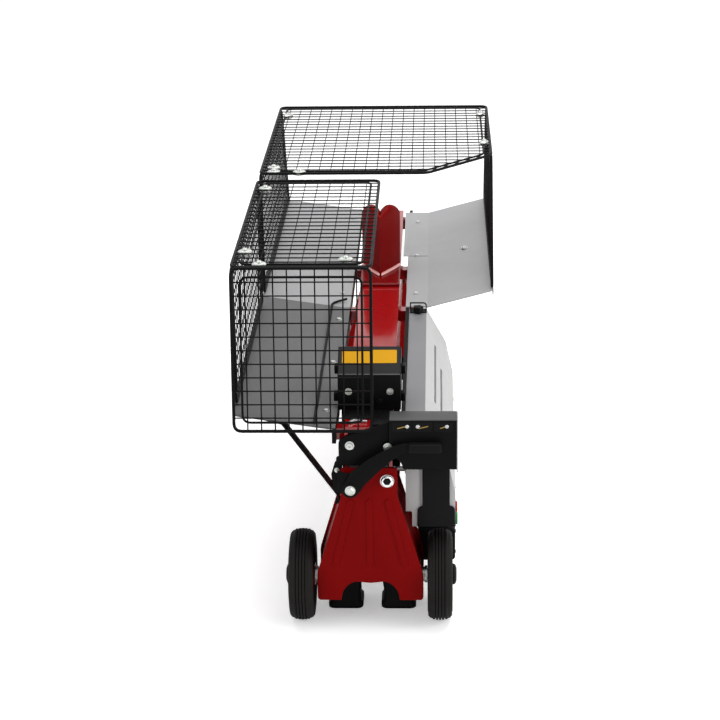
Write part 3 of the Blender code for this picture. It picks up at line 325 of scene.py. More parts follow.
# Materials of the CAD nodes that keep their own shape
KEPT_NODES = {
    "red_paint": "wedge_base rim_left rim_right",
    "deck_red": "beam",
    "black_paint": "rail_left rail_right pusher_guide_left pusher_guide_right cylinder_gland "
                   "control_housing",
    "tray_grey": "tray_left_far tray_right",
    # The left near tray takes the darker grey as painted shade
    "tray_grey_painted_shade": "tray_left_near",
    "cover_grey": "motor_cover",
    "black_plastic": "cover_knob power_inlet hub_cap_left hub_cap_right",
    "steel": "axle cylinder_tube cylinder_line feed_line lever_shaft",
    "chrome": "piston_rod bleed_screw",
    "cast_iron": "valve_block pump motor pusher_yoke cylinder_anchor",
    "red_plastic": "stop_button",
    "green_plastic": "start_button",
}


def dress_cad():
    for material, nodes in KEPT_NODES.items():
        for node in nodes.split():
            for material_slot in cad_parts[node].material_slots:
                material_slot.material = MATERIALS[material]


def settle(obj, material, body, stands_for):
    obj.data.materials.clear()
    obj.data.materials.append(MATERIALS[material])
    show(obj)
    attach(obj, body)
    if stands_for:
        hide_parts(*stands_for)


def piece(name, work, material, body="frame", stands_for=(), smooth=35, slot_name=None):
    """Turn a finished shape into a named piece that rides on a CAD body."""
    bmesh.ops.recalc_face_normals(work, faces=work.faces)
    mesh = bpy.data.meshes.new(name)
    work.to_mesh(mesh)
    work.free()
    mesh.shade_smooth()
    mesh.set_sharp_from_angle(angle=radians(smooth))
    made = bpy.data.objects.new(name, mesh)
    settle(made, material, body, stands_for)


def wires(name, paths, radius, closed=False, stands_for=(), sides=2, widths=None):
    """Round black bars along paths, as one curve object. Widths are shares of the radius."""
    curve = bpy.data.curves.new(name, "CURVE")
    curve.dimensions = "3D"
    curve.bevel_depth = radius
    curve.bevel_resolution = sides
    curve.use_fill_caps = True
    for number, path in enumerate(paths):
        spline = curve.splines.new("POLY")
        spline.points.add(len(path) - 1)
        for slot_point, point in zip(spline.points, path):
            slot_point.co = (*point, 1.0)
            slot_point.radius = widths[number] if widths else 1.0
        spline.use_cyclic_u = closed
    made = bpy.data.objects.new(name, curve)
    settle(made, "wire_black", "frame", stands_for)


def pour(target, part, matrix=None):
    """Add one closed shape to another."""
    if matrix is not None:
        part.transform(matrix)
    mesh = bpy.data.meshes.new("poured")
    part.to_mesh(mesh)
    part.free()
    target.from_mesh(mesh)
    bpy.data.meshes.remove(mesh)


def lay(plane, u, v, w):
    """A point of a flat outline, with w square to the named plane."""
    if plane == "XY":
        return (u, v, w)
    if plane == "XZ":
        return (u, w, v)
    return (w, u, v)


def add_plate(target, outline, plane, low, high, bevel=0.0, segments=2, matrix=None):
    """A flat outline drawn out between two stations, with its edges rounded."""
    work = bmesh.new()
    face = work.faces.new([work.verts.new(lay(plane, u, v, low)) for u, v in outline])
    grown = bmesh.ops.extrude_face_region(work, geom=[face], use_keep_orig=True)
    moved = [item for item in grown["geom"] if isinstance(item, bmesh.types.BMVert)]
    bmesh.ops.translate(work, vec=lay(plane, 0, 0, high - low), verts=moved)
    bmesh.ops.recalc_face_normals(work, faces=work.faces)
    if bevel:
        sharp = [edge for edge in work.edges if edge.calc_face_angle(0) > radians(28)]
        bmesh.ops.bevel(work, geom=sharp, offset=bevel, segments=segments, profile=0.5,
                        affect="EDGES", clamp_overlap=True)
    pour(target, work, matrix)


def single(name, material, add, *shape, **riding):
    """One added shape as a piece of its own."""
    work = bmesh.new()
    add(work, *shape)
    piece(name, work, material, **riding)


def rectangle(u, v, far_u, far_v):
    """The four corners in turn, from one corner by way of the opposite one."""
    return [(u, v), (far_u, v), (far_u, far_v), (u, far_v)]


def shifted(at, outline):
    """A flat outline moved so that its own origin lies at a point."""
    return [(at[0] + u, at[1] + v) for u, v in outline]


def add_block(target, low, high, bevel=0.001, segments=2, matrix=None):
    outline = rectangle(low[0], low[1], high[0], high[1])
    add_plate(target, outline, "XY", low[2], high[2], bevel, segments, matrix)


# What turns a shape's own Z to each axis
AXES = {axis: Matrix.Rotation(radians(angle), 4, about) for axis, angle, about in (
    ("X", 90, "Y"), ("-X", -90, "Y"), ("Y", -90, "X"), ("-Y", 90, "X"), ("Z", 0, "X"),
    ("-Z", 180, "X"))}


def add_turned(target, profile, axis, at, steps=32):
    """A profile of (radius, height) pairs turned round an axis through a point. A profile that
    starts away from the axis is closed into a ring."""
    work = bmesh.new()
    corners = [work.verts.new((radius, 0.0, height)) for radius, height in profile]
    edges = [work.edges.new(pair) for pair in zip(corners, corners[1:])]
    if profile[0][0] > 0:
        edges.append(work.edges.new((corners[-1], corners[0])))
    bmesh.ops.spin(work, geom=corners + edges, cent=(0, 0, 0), axis=(0, 0, 1), angle=2 * pi,
                   steps=steps, use_merge=True)
    bmesh.ops.remove_doubles(work, verts=work.verts, dist=0.000005)
    bmesh.ops.recalc_face_normals(work, faces=work.faces)
    pour(target, work, Matrix.Translation(at) @ AXES[axis])


def add_rings(target, rings, matrix=None):
    """A closed shape with faces between rings of points and one over each end."""
    work = bmesh.new()
    corners = [[work.verts.new(point) for point in ring] for ring in rings]
    count = len(rings[0])
    for lower, upper in zip(corners, corners[1:]):
        for number in range(count):
            after = (number + 1) % count
            work.faces.new((lower[number], lower[after], upper[after], upper[number]))
    work.faces.new(corners[0][::-1])
    work.faces.new(corners[-1])
    pour(target, work, matrix)


def add_hexagon(target, radius, low, high, axis, at, turn=0.0):
    """Hexagonal bolt head with a chamfered top."""
    angles = [turn + step * pi / 3 for step in range(6)]
    rings = [[(ring * cos(angle), ring * sin(angle), height) for angle in angles]
             for ring, height in ((radius, low), (radius, high - radius * 0.12),
                                  (radius * 0.86, high))]
    add_rings(target, rings, Matrix.Translation(at) @ AXES[axis])


def add_pan_head(target, radius, axis, at, height=0.0028):
    """Pan-head screw with a round recess, on its washer."""
    washer = radius * 1.35
    add_turned(target, [(0, 0), (washer, 0), (washer, 0.0008), (0, 0.0008)], axis, at, 24)
    socket = radius * 0.38
    profile = [(0, 0.0008), (radius, 0.0008), (radius, height * 0.55), (radius * 0.86, height),
               (socket, height * 1.06), (socket * 0.7, height * 0.5), (0, height * 0.45)]
    add_turned(target, profile, axis, at, 24)


def add_hex_bolt(target, radius, axis, at, height=0.004):
    """Hexagonal head on its washer."""
    washer = radius * 1.3
    add_turned(target, [(0, 0), (washer, 0), (washer, 0.001), (0, 0.001)], axis, at, 28)
    add_hexagon(target, radius, 0.001, height, axis, at, HEX_TURN)


def arc(centre, radius, start, end, steps):
    """Points of an arc between two angles in degrees."""
    points = []
    for step in range(steps + 1):
        angle = radians(start + (end - start) * step / steps)
        points.append((centre[0] + radius * cos(angle), centre[1] + radius * sin(angle)))
    return points


def rounded(corners, radius, steps=5):
    """A closed path with each corner rounded, for points in two or three dimensions."""
    path = []
    count = len(corners)
    for number in range(count):
        corner = Vector(corners[number])
        before = Vector(corners[number - 1]) - corner
        after = Vector(corners[(number + 1) % count]) - corner
        reach = min(radius, before.length * 0.45, after.length * 0.45)
        first = corner + before.normalized() * reach
        last = corner + after.normalized() * reach
        for step in range(steps + 1):
            share = step / steps
            path.append(first * (1 - share) ** 2 + corner * 2 * share * (1 - share)
                        + last * share ** 2)
    return path


def inset(flat, distance):
    """A convex outline moved inwards by a distance."""
    count = len(flat)
    lines = []
    for number in range(count):
        first = Vector(flat[number])
        along = (Vector(flat[(number + 1) % count]) - first).normalized()
        lines.append((first + Vector((-along.y, along.x)) * distance, along))
    moved = []
    for number in range(count):
        start, along = lines[number - 1]
        other, across = lines[number]
        share = (other - start).cross(across) / along.cross(across)
        moved.append(start + along * share)
    return moved


def ribbon(centres, halves):
    """Both edges of a bar along a flat path, with its half width at each point."""
    upper = []
    lower = []
    for number, (centre, half) in enumerate(zip(centres, halves)):
        before = centres[max(number - 1, 0)]
        after = centres[min(number + 1, len(centres) - 1)]
        along = (after - before).normalized()
        across = Vector((-along.y, along.x)) * half
        upper.append(centre + across)
        lower.append(centre - across)
    return upper, lower


def crossing(flat, fixed, value):
    """Where a line of constant u or v crosses a convex outline."""
    hits = []
    other = 1 - fixed
    for number, first in enumerate(flat):
        second = flat[(number + 1) % len(flat)]
        low, high = first[fixed], second[fixed]
        if (low - value) * (high - value) < 0:
            share = (value - low) / (high - low)
            hits.append(first[other] + (second[other] - first[other]) * share)
    return (min(hits), max(hits)) if len(hits) == 2 else None


def panel(node, corners, thin=THIN_WIRE):
    """Welded mesh panel: round wires in two layers, an outer frame rod and an inner one."""
    origin = Vector(corners[0])
    along = (Vector(corners[1]) - origin).normalized()
    normal = along.cross(Vector(corners[-1]) - origin).normalized()
    up = normal.cross(along)
    reaches = [Vector(corner) - origin for corner in corners]
    flat = [Vector((reach.dot(along), reach.dot(up))) for reach in reaches]

    def place(u, v, lift=0.0):
        return origin + along * u + up * v + normal * lift

    paths = []
    widths = []
    for fixed, lift, width in ((0, -WIRE, thin), (1, WIRE, 1.0)):
        low = min(point[fixed] for point in flat)
        high = max(point[fixed] for point in flat)
        count = round((high - low) / PITCH)
        for number in range(1, count):
            value = low + (high - low) * number / count
            ends = crossing(flat, fixed, value)
            if ends is None:
                continue
            widths.append(width)
            points = [(value, end) if fixed == 0 else (end, value) for end in ends]
            paths.append([place(*point, lift) for point in points])
    wires(f"{node}_wires", paths, WIRE, sides=1, widths=widths)
    outer = [place(*point) for point in rounded(flat, PANEL_CORNER)]
    wires(f"{node}_rod", [outer], ROD, closed=True, stands_for=(node,))
    inner = [place(*point) for point in rounded(inset(flat, FRAME_STEP), PANEL_CORNER)]
    wires(f"{node}_inner_rod", [inner], INNER_ROD, closed=True)


def rod_box(node):
    """The box of a guard panel, moved in to the middle of the rod along its edges."""
    low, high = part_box(node)
    inwards = Vector((ROD, ROD, ROD))
    return low + inwards, high - inwards


def make_cage():
    """Six guard panels, each in the place of its CAD node."""
    low, high = rod_box("cage_front")
    top = high.z - CLAMP_RISE
    panel("cage_front", [(low.x, low.y, low.z), (high.x, low.y, low.z), (high.x, high.y, top),
                         (low.x, high.y, top)], thin=1.0)
    low, high = rod_box("cage_top_near")
    top = high.z - CLAMP_RISE
    under = top - 2 * ROD
    corners = rectangle(low.x, low.y, high.x, high.y)
    panel("cage_top_near", [(x, y, top) for x, y in corners])
    low, high = rod_box("cage_top_far")
    far_end = high.y
    panel("cage_top_far", [
        (low.x, low.y, top), (CUT_NEAR_X, low.y, top), (high.x, station(CUT_FAR_Y), top),
        (high.x, far_end, top), (low.x, far_end, top)])
    side_low, side_high = rod_box("cage_side_near")
    left = side_low.x
    for node, top_end in (("cage_side_near", side_high.y), ("cage_side_far", far_end)):
        low, high = rod_box(node)
        panel(node, [(left, low.y, low.z), (left, high.y, low.z), (left, top_end, under),
                     (left, low.y, under)])
    low, high = rod_box("cage_side_right")
    right = high.x
    panel("cage_side_right", [(right, low.y, low.z), (right, high.y, low.z),
                              (right, far_end, under), (right, station(CUT_FAR_Y), under)])


def add_clamp(target, x, y, plane, turn):
    """Two domed washers and a screw, gripping a pair of rods."""
    rim = CLAMP_RADIUS
    matrix = (Matrix.Translation((x, y, plane)) @ Matrix.Rotation(turn, 4, "Z")
              @ Matrix.Diagonal((CLAMP_STRETCH, 1.0, 1.0, 1.0)))
    profile = [(0, ROD * 0.4), (rim, ROD * 0.4), (rim, ROD * 0.9), (rim * 0.85, ROD * 1.5),
               (rim * 0.5, ROD * 1.75), (0, ROD * 1.75)]
    for axis in ("Z", "-Z"):
        dome = bmesh.new()
        add_turned(dome, profile, axis, (0, 0, 0), 24)
        pour(target, dome, matrix)
    crown = plane + ROD * 1.7
    add_pan_head(target, CLAMP_SCREW, "Z", (x, y, crown), 0.0024)


def make_clamps():
    """Zinc clamps that hold the guard panels together."""
    low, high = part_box("cage_top_far")
    near_low, near_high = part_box("cage_top_near")
    plane = high.z - ROD - CLAMP_RISE
    left = low.x + FRAME_STEP
    right = high.x - FRAME_STEP
    places = [(left + 0.008, station(0.9), 0.9), (right - 0.002, station(0.905), 1.2),
              (right, station(0.69), 1.3), (left + 0.012, low.y + 0.01, 0.2),
              (left + 0.01, low.y + 0.036, 0.1), (left + 0.055, low.y + 0.008, 0.15),
              (left + 0.006, near_high.y - 0.052, 0.2), (left + 0.004, near_low.y + 0.072, 0.3),
              (left + 0.03, near_low.y + 0.012, 0.1), (-0.031, near_low.y + 0.034, 0.1)]
    work = bmesh.new()
    for x, y, turn in places:
        add_clamp(work, x, y, plane, turn)
    piece("cage_clamps", work, "zinc")


def make_wheels():
    """Ribbed tyres, with a spacer on the axle inside each wheel."""
    for side, word, axis in ((-1, "left", "-X"), (1, "right", "X")):
        low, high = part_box(f"tyre_{word}")
        rim_low, rim_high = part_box(f"rim_{word}")
        centre = (low + high) / 2
        radius = (high.z - low.z) / 2
        half = (high.x - low.x) / 2
        seat = (rim_high.z - rim_low.z) / 2 + 0.0002
        crown = radius - TREAD_SWELL
        half_profile = [
            (seat, half - 0.006), (seat + 0.003, half - 0.002), (radius * 0.8, half),
            (radius * 0.84, half - 0.0008), (radius * 0.9, half - 0.0008),
            (radius * 0.945, half - 0.0035), (crown - 0.0008, half - TREAD_EDGE)]
        tread = []
        width = 2 * (half - TREAD_EDGE)
        for rib in range(TREAD_RIBS):
            start = width / 2 - width * rib / TREAD_RIBS
            end = width / 2 - width * (rib + 1) / TREAD_RIBS
            off_middle = (rib - (TREAD_RIBS - 1) / 2) / (TREAD_RIBS / 2)
            face = crown + TREAD_SWELL * (1 - off_middle ** 2)
            tread += [(face, start - TREAD_GROOVE * 0.5), (face, end + TREAD_GROOVE * 0.5)]
            if rib < TREAD_RIBS - 1:
                floor = crown - TREAD_GROOVE
                tread += [(floor, end + TREAD_GROOVE * 0.2), (floor, end - TREAD_GROOVE * 0.2)]
        other = [(ring, -height) for ring, height in reversed(half_profile)]
        single(f"tyre_{word}_ribbed", "tyre_rubber", add_turned, half_profile + tread + other,
               axis, centre, 56, body=f"wheel_{word}", stands_for=(f"tyre_{word}",), smooth=28)
        inner = centre.x - side * (half + 0.0004)
        single(f"axle_spacer_{word}", "zinc", add_turned, SPACER, "-X" if side > 0 else "X",
               (inner, centre.y, centre.z), 28)


def leg_front(half_foot, bottom, top):
    """Outline of a leg's pressed face, with the arch between its feet."""
    arch = [(ARCH_HALF, bottom)]
    rise = ARCH_TOP - bottom
    for step in range(1, 8):
        angle = radians(90) * step / 7
        x = ARCH_HALF - (ARCH_HALF - ARCH_FLAT_HALF) * (1 - cos(angle))
        arch.append((x, bottom + rise * sin(angle)))
    arch += [(ARCH_FLAT_HALF * 0.55, ARCH_TOP - 0.0012), (0.0, ARCH_TOP - 0.0022)]
    right = arch[::-1] + [
        (half_foot - 0.004, bottom), (half_foot - 0.001, bottom + 0.002),
        (half_foot, bottom + 0.006), (half_foot, LEG_SKIRT_TOP - 0.003),
        (half_foot - 0.0008, LEG_SKIRT_TOP + 0.004), (LEG_TOP_HALF + 0.001, LEG_SHOULDER - 0.004),
        (LEG_TOP_HALF, LEG_SHOULDER + 0.003), (LEG_TOP_HALF, top)]
    left = [(-x, z) for x, z in right[::-1] if x > 0]
    return right + left


def leg_side(half_foot, bottom, top):
    """Cross-section path of a leg's flank, from its foot to its top."""
    return [(half_foot, bottom), (half_foot, LEG_SKIRT_TOP - 0.003),
            (half_foot - 0.0012, LEG_SKIRT_TOP + 0.005),
            (LEG_TOP_HALF + 0.001, LEG_SHOULDER - 0.004),
            (LEG_TOP_HALF, LEG_SHOULDER + 0.003), (LEG_TOP_HALF, top)]


def make_leg(node, upstand):
    """Pressed sheet leg with two faces, two flanks, a cap and three shallow ribs. With an
    upstand, its near face runs on above the beam's underside. Without one, its far face has
    ribs too and its flanks have bolts."""
    low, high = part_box(node)
    half_foot = (high.x - low.x) / 2
    bottom = low.z
    cap = BEAM_LOW.z - 0.0006
    near = low.y + LEG_SETBACK
    far = high.y - (0.0 if upstand else LEG_SETBACK)
    work = bmesh.new()
    top = high.z if upstand else cap
    add_plate(work, leg_front(half_foot, bottom, top), "XZ", near, near + LEG_SHEET, 0.0007)
    add_plate(work, leg_front(half_foot, bottom, cap), "XZ", far - LEG_SHEET, far, 0.0007)
    flank = [(x - FLANK_INSET, z) for x, z in leg_side(half_foot, bottom, cap)]
    inner = [(x - LEG_SHEET, z) for x, z in flank]
    for side in (1, -1):
        outline = [(side * x, z) for x, z in flank + inner[::-1]]
        add_plate(work, outline, "XZ", near + 0.001, far - 0.001, 0.0004, 1)
    half_cap = LEG_TOP_HALF - 0.0005
    add_block(work, (-half_cap, near + 0.001, cap - LEG_SHEET), (half_cap, far - 0.001, cap))
    for side in (-1, 0, 1):
        top_x = side * RIB_TOP_REACH
        low_x = side * RIB_BOTTOM_REACH
        heading = degrees(atan2(RIB_BOTTOM - RIB_TOP, low_x - top_x))
        outline = arc((top_x, RIB_TOP), RIB_WIDTH / 2, heading + 90, heading + 270, 8)
        outline += arc((low_x, RIB_BOTTOM), RIB_WIDTH / 2, heading - 90, heading + 90, 8)
        add_plate(work, outline, "XZ", near - RIB_HEIGHT, near + 0.002, 0.0013, 4)
        if not upstand:
            add_plate(work, outline, "XZ", far - 0.002, far + RIB_HEIGHT, 0.0013, 4)
    piece(f"{node}_pressing", work, "leg_red", stands_for=(node,), smooth=38)
    if upstand:
        return
    work = bmesh.new()
    taper = (half_foot - LEG_TOP_HALF) / (LEG_SHOULDER - LEG_SKIRT_TOP)
    for side in (-1, 1):
        for z in LEG_BOLT_HEIGHTS:
            x = half_foot - taper * (z - LEG_SKIRT_TOP)
            place = (side * (x - 0.0015), (near + far) / 2, z)
            add_hex_bolt(work, 0.0045, "X" if side > 0 else "-X", place, 0.0045)
    piece(f"{node}_bolts", work, "zinc")


def make_feet():
    """Moulded rubber boots, waisted and wider at the ground."""
    for end in ("near", "far"):
        for word in ("left", "right"):
            node = f"foot_{end}_{word}"
            low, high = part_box(node)
            centre = (low + high) / 2
            rings = []
            for z, share in FOOT_LEVELS + ((high.z, FOOT_TOP_SHARE),):
                half = (high - low) / 2 * share
                corners = rectangle(centre.x + half.x, centre.y + half.y,
                                    centre.x - half.x, centre.y - half.y)
                rings.append([(point.x, point.y, z)
                              for point in rounded(corners, FOOT_CORNER, 4)])
            single(f"{node}_boot", "foot_rubber", add_rings, rings, stands_for=(node,),
                   smooth=50)


def make_wedge():
    """Splitting wedge: two bowed blades that meet at a sharp edge towards the pusher."""
    low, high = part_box("wedge")
    half = (high.x - low.x) / 2 + WEDGE_WIDER
    depth = high.y - low.y
    top = high.z + WEDGE_TALLER
    pairs = []
    for step in range(WEDGE_STEPS + 1):
        share = step / WEDGE_STEPS
        spread = min(1.0, share / WEDGE_SHOULDER)
        bow = WEDGE_BOW * (sin(radians(90) * spread) - spread)
        x = half * (spread + bow)
        y = low.y + depth * share
        inner_x = max(0.0, x - WEDGE_SHEET)
        inner_y = y + WEDGE_SHEET * 1.5 * (1 - spread)
        pairs.append((Vector((x, y)), Vector((inner_x, min(inner_y, high.y)))))
    mirrored = [(Vector((-a.x, a.y)), Vector((-b.x, b.y))) for a, b in pairs[:0:-1]]
    half_sheet = WEDGE_SHEET / 2
    columns = []
    for outer, inner in mirrored + pairs:
        into = (outer.y - low.y) / WEDGE_CREST
        bend = min(1.0, max(0.0, into - 1) * WEDGE_CREST / WEDGE_CORNER)
        crown = top - WEDGE_DIP * max(0.0, 1 - into)
        crown -= WEDGE_DROP * (1 - (1 - WEDGE_END_ROUND * bend ** 2) ** 0.5)
        column = [(outer.x, outer.y, low.z)]
        for step in range(0, 181, 20):
            angle = radians(step)
            across = outer.lerp(inner, (1 - cos(angle)) / 2)
            column.append((across.x, across.y, crown - half_sheet * (1 - sin(angle))))
        column.append((inner.x, inner.y, low.z))
        columns.append(column)
    work = bmesh.new()
    add_rings(work, columns)
    bmesh.ops.remove_doubles(work, verts=work.verts, dist=0.0001)
    piece("wedge_blades", work, "leg_red", stands_for=("wedge",), smooth=40)
    # Pale pink strips along the weld at the wedge's foot: painted highlight for the glints there
    work = bmesh.new()
    base_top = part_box("wedge_base")[1].z
    weld = [pairs[number][0] + Vector((0.002, -0.007)) for number in (0, 3, 6, 9, 12)]
    for side in (-1, 1):
        outer = [(side * point.x, point.y) for point in weld]
        inner = [(side * max(0.0012, point.x - 0.005), point.y + 0.011) for point in weld[::-1]]
        add_plate(work, outer + inner, "XY", base_top, base_top + WELD_GLINT_HEIGHT, 0.0016)
    piece("wedge_weld_glint", work, "weld_glint_pink", smooth=60)


def make_pusher():
    """Pusher block and its toothed face."""
    low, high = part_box("pusher_block")
    platen_low, platen_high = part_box("pusher_platen")
    slope_end = station(SLOPE_END)
    back_top = high.z - PUSHER_BACK_DROP
    half = (high.x - low.x) / 2
    side = [(low.y, low.z), (high.y, low.z), (high.y, back_top),
            (slope_end + 0.004, high.z - 0.001), (slope_end, high.z),
            (low.y + 0.0015, FACE_TOP + 0.001), (low.y, FACE_TOP - 0.002)]
    single("pusher_body", "black_paint", add_plate, side, "YZ", -half, half, 0.0012, 3,
           body="pusher", stands_for=("pusher_block",))
    face = [(platen_low.y, platen_low.z), (platen_high.y, platen_low.z)]
    pitch = (back_top - 0.004 - platen_low.z) / PUSHER_TEETH
    for tooth in range(PUSHER_TEETH):
        z = platen_low.z + pitch * tooth
        face += [(platen_high.y, z + pitch * 0.55),
                 (platen_high.y - TOOTH_DEPTH, z + pitch * 0.78), (platen_high.y, z + pitch)]
    face.append((platen_low.y, back_top - 0.004))
    single("pusher_face", "black_paint", add_plate, face, "YZ", platen_low.x, platen_high.x,
           0.0006, body="pusher", stands_for=("pusher_platen",))


def make_pusher_slope():
    """Painted sheen on the pusher's slope, a painted highlight along its lower edge, and the plain
    yellow plate.
    """
    low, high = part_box("pusher_block")
    half = (high.x - low.x) / 2
    bottom = Vector((0, low.y, FACE_TOP))
    along = Vector((0, station(SLOPE_END) - low.y, high.z - FACE_TOP))
    outward = Vector((0, -along.z, along.y)).normalized()
    tilt = Matrix((Vector((1, 0, 0)), along.normalized(), outward)).transposed().to_4x4()
    length = along.length
    matrix = Matrix.Translation(bottom) @ tilt
    edge = half - 0.0012
    margin = half - 0.006
    # The grey plate lighter than the black paint is painted sheen of the upward slope; the strip
    # along its lower edge is a painted highlight.
    slope_sheen = rectangle(-edge, 0.0008, edge, length - 0.0012)
    edge_highlight = rectangle(-edge, 0.0004, edge, 0.0026)
    label = rounded(rectangle(-margin, length * 0.42, margin, length * 0.88), 0.002, 3)
    for name, material, outline, *reach in (
            ("pusher_hood", "hood_grey", slope_sheen, -0.0002, 0.0005, 0.0002, 1),
            ("pusher_hem", "lid_grey", edge_highlight, 0.0003, 0.001, 0.0003, 2),
            ("pusher_plate", "yellow_plate", label, 0.0003, 0.001, 0.0002, 1)):
        single(name, material, add_plate, outline, "XY", *reach, matrix, body="pusher")


def make_pusher_fittings():
    """Screws, bolts and side lugs of the pusher."""
    low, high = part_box("pusher_block")
    half = (high.x - low.x) / 2
    work = bmesh.new()
    for x in (-PUSHER_SCREW_X, PUSHER_SCREW_X):
        add_pan_head(work, 0.004, "-Y", (x, low.y, PUSHER_SCREW_HEIGHT), 0.0026)
    piece("pusher_screws", work, "zinc", "pusher")
    work = bmesh.new()
    for x in (-PUSHER_BOLT_X, PUSHER_BOLT_X):
        add_hex_bolt(work, 0.0048, "-Y", (x, low.y, PUSHER_BOLT_HEIGHT), 0.0045)
    for side in (-1, 1):
        left, right = sorted((side * (half - 0.001), side * (half + 0.0065)))
        for distance, z in LUG_PLACES:
            y = low.y + distance
            add_block(work, (left, y, z), (right, y + LUG_LENGTH, z + LUG_HEIGHT))
    piece("pusher_lugs", work, "black_paint", "pusher")


def lever_pivot():
    shaft = middle("lever_shaft")
    return Vector((shaft.x, shaft.z))


def make_lever():
    """Wide pressed control lever with a hub, a base plate, a grip sleeve and its pivot bolt."""
    low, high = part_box("control_lever")
    grip_low, grip_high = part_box("lever_grip")
    pivot = lever_pivot()
    grip = Vector((grip_low.x + 0.004, (grip_low.z + grip_high.z) / 2 - GRIP_DROP))
    reach = grip - pivot
    centres = [pivot + Vector((reach.x * u, reach.y * v)) for u, v, half in LEVER_PATH]
    upper, lower = ribbon(centres, [half for u, v, half in LEVER_PATH])
    first = centres[1] - centres[0]
    start = degrees(atan2(first.y, first.x))
    hub = arc(pivot, LEVER_PATH[0][2], start + 90, start + 270, 14)
    work = bmesh.new()
    add_plate(work, hub[1:-1] + lower + upper[::-1], "XZ", low.y + 0.0005, high.y - 0.0005,
              0.0011, 3)
    add_turned(work, LEVER_RING, "-Y", (pivot.x, low.y + 0.001, pivot.y))
    piece("control_lever_plate", work, "black_paint", "lever", stands_for=("control_lever",))
    base = rounded(shifted(pivot, LEVER_BASE), 0.004, 3)
    single("control_lever_base", "black_paint", add_plate, base, "XZ", high.y + 0.0003,
           high.y + 0.0022, 0.0006, body="lever")
    drop = Vector((0, 0, GRIP_DROP))
    single("lever_grip_sleeve", "black_plastic", add_block, grip_low - drop, grip_high - drop,
           0.003, 4, body="lever", stands_for=("lever_grip",))
    work = bmesh.new()
    at = (pivot.x, low.y - 0.0001, pivot.y)
    add_turned(work, [(0, 0), (PIVOT_HEAD, 0), (PIVOT_HEAD, 0.001), (0.0066, 0.0018),
                      (0, 0.0018)], "-Y", at)
    add_hexagon(work, 0.0062, 0.0016, 0.0042, "-Y", at, 0.2)
    piece("lever_pivot_bolt", work, "zinc", "lever")


def make_stop_bracket():
    """Bent bracket behind the lever's stop, and its screw."""
    low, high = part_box("end_plate")
    pivot = lever_pivot()
    under = (pivot.x, low.z)
    lug = shifted(pivot, [(-0.0245, -0.012), (-0.0145, -0.014), (-0.013, 0.01)])
    lug += shifted(under, [(-0.013, 0.004), (-0.0225, 0.008)])
    lug += shifted(pivot, [(-0.0285, 0.018), (-0.027, 0.004)])
    back = shifted(under, [(-0.021, -0.004), (-0.012, -0.004), (-0.012, 0.016),
                           (-0.021, 0.012)])
    work = bmesh.new()
    add_plate(work, lug, "XZ", low.y + 0.0006, high.y - 0.0002, 0.001)
    add_plate(work, back, "XZ", low.y + 0.0002, high.y + 0.006, 0.001)
    piece("lever_stop_bracket", work, "black_paint")
    single("stop_bracket_screw", "zinc", add_pan_head, 0.0028, "-Y",
           (pivot.x - 0.02, low.y + 0.0008, low.z - 0.006))


def make_end_bracket():
    """Bracket plate on the beam's near end, and its two screws."""
    low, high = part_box("end_plate")
    left = low.x - 0.003
    outline = [(left, low.z + 0.001), (high.x, low.z + 0.001), (high.x, high.z)]
    outline += shifted((left, high.z), [(0.043, -0.013), (0.016, -0.021), (0.006, -0.025),
                                        (0.001, -0.03), (0.0, -0.036)])
    single("end_bracket", "black_paint", add_plate, outline, "XZ", low.y, high.y, 0.0008,
           stands_for=("end_plate",))
    housing_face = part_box("control_housing")[0].y
    work = bmesh.new()
    for x, y in ((BRACKET_SCREW_LEFT, low.y), (BRACKET_SCREW_RIGHT, min(low.y, housing_face))):
        add_pan_head(work, BRACKET_SCREW, "-Y", (x, y, BRACKET_SCREW_HEIGHT), 0.0032)
    piece("bracket_screws", work, "zinc")


def make_housing_details():
    """Windows, links and bolts on the control housing's face, its lid and its side plate."""
    low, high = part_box("control_housing")
    front = low.y
    top = high.z
    left = low.x + 0.004
    third = (high.x - 0.006 - left) / 3
    panes = bmesh.new()
    links = bmesh.new()
    bolts = bmesh.new()
    for number, (tip, end, bolt) in enumerate(LINKS):
        start = left + third * number
        pane = rectangle(start + 0.001, top - 0.018, start + third - 0.001, top - 0.004)
        add_plate(panes, rounded(pane, 0.0015, 3), "XZ", front - 0.0004, front + 0.001, 0.0002, 1)
        heart = (start + third / 2, top - 0.0105)
        link = shifted(heart, [(tip, -0.003), (end, 0.0004), (end, 0.0022), (tip, -0.0012)])
        add_plate(links, link, "XZ", front - 0.0012, front - 0.0002, 0.0004)
        at = (heart[0] + bolt, front - 0.0004, heart[1] + 0.0008)
        add_hexagon(bolts, 0.0031, 0.0, 0.0012, "-Y", at, 0.2)
    piece("housing_windows", panes, "window_black")
    piece("housing_links", links, "brass")
    piece("housing_bolts", bolts, "steel")
    single("housing_lid", "lid_grey", add_block, (low.x + 0.0006, front + 0.0004, top - 0.001),
           (high.x - 0.0012, high.y - 0.0006, top + 0.0008), 0.0004)
    single("housing_side_plate", "steel", add_block,
           (high.x - 0.0012, front - 0.001, low.z - 0.004), (high.x + 0.0004, high.y, top),
           0.0003, 1, slot_name="black_paint")


def make_plug_details():
    """Seat of the oil plug on the near leg, and a black disc on its head that is painted shade in
    the socket there.
    """
    plug = middle("bleed_screw")
    leg_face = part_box("leg_near")[0].y + LEG_SETBACK
    single("plug_seat", "chrome", add_turned, PLUG_SEAT, "-Y", (plug.x, leg_face, plug.z), 36)
    # The black disc, set a little above the plug's middle, is painted shade in the socket
    plug_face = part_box("bleed_screw")[0].y
    single("plug_socket_shade", "black_plastic", add_turned, PLUG_SOCKET_SHADE, "-Y",
           (plug.x, plug_face, plug.z + 0.0012), 6, body="bleed_screw", smooth=20)


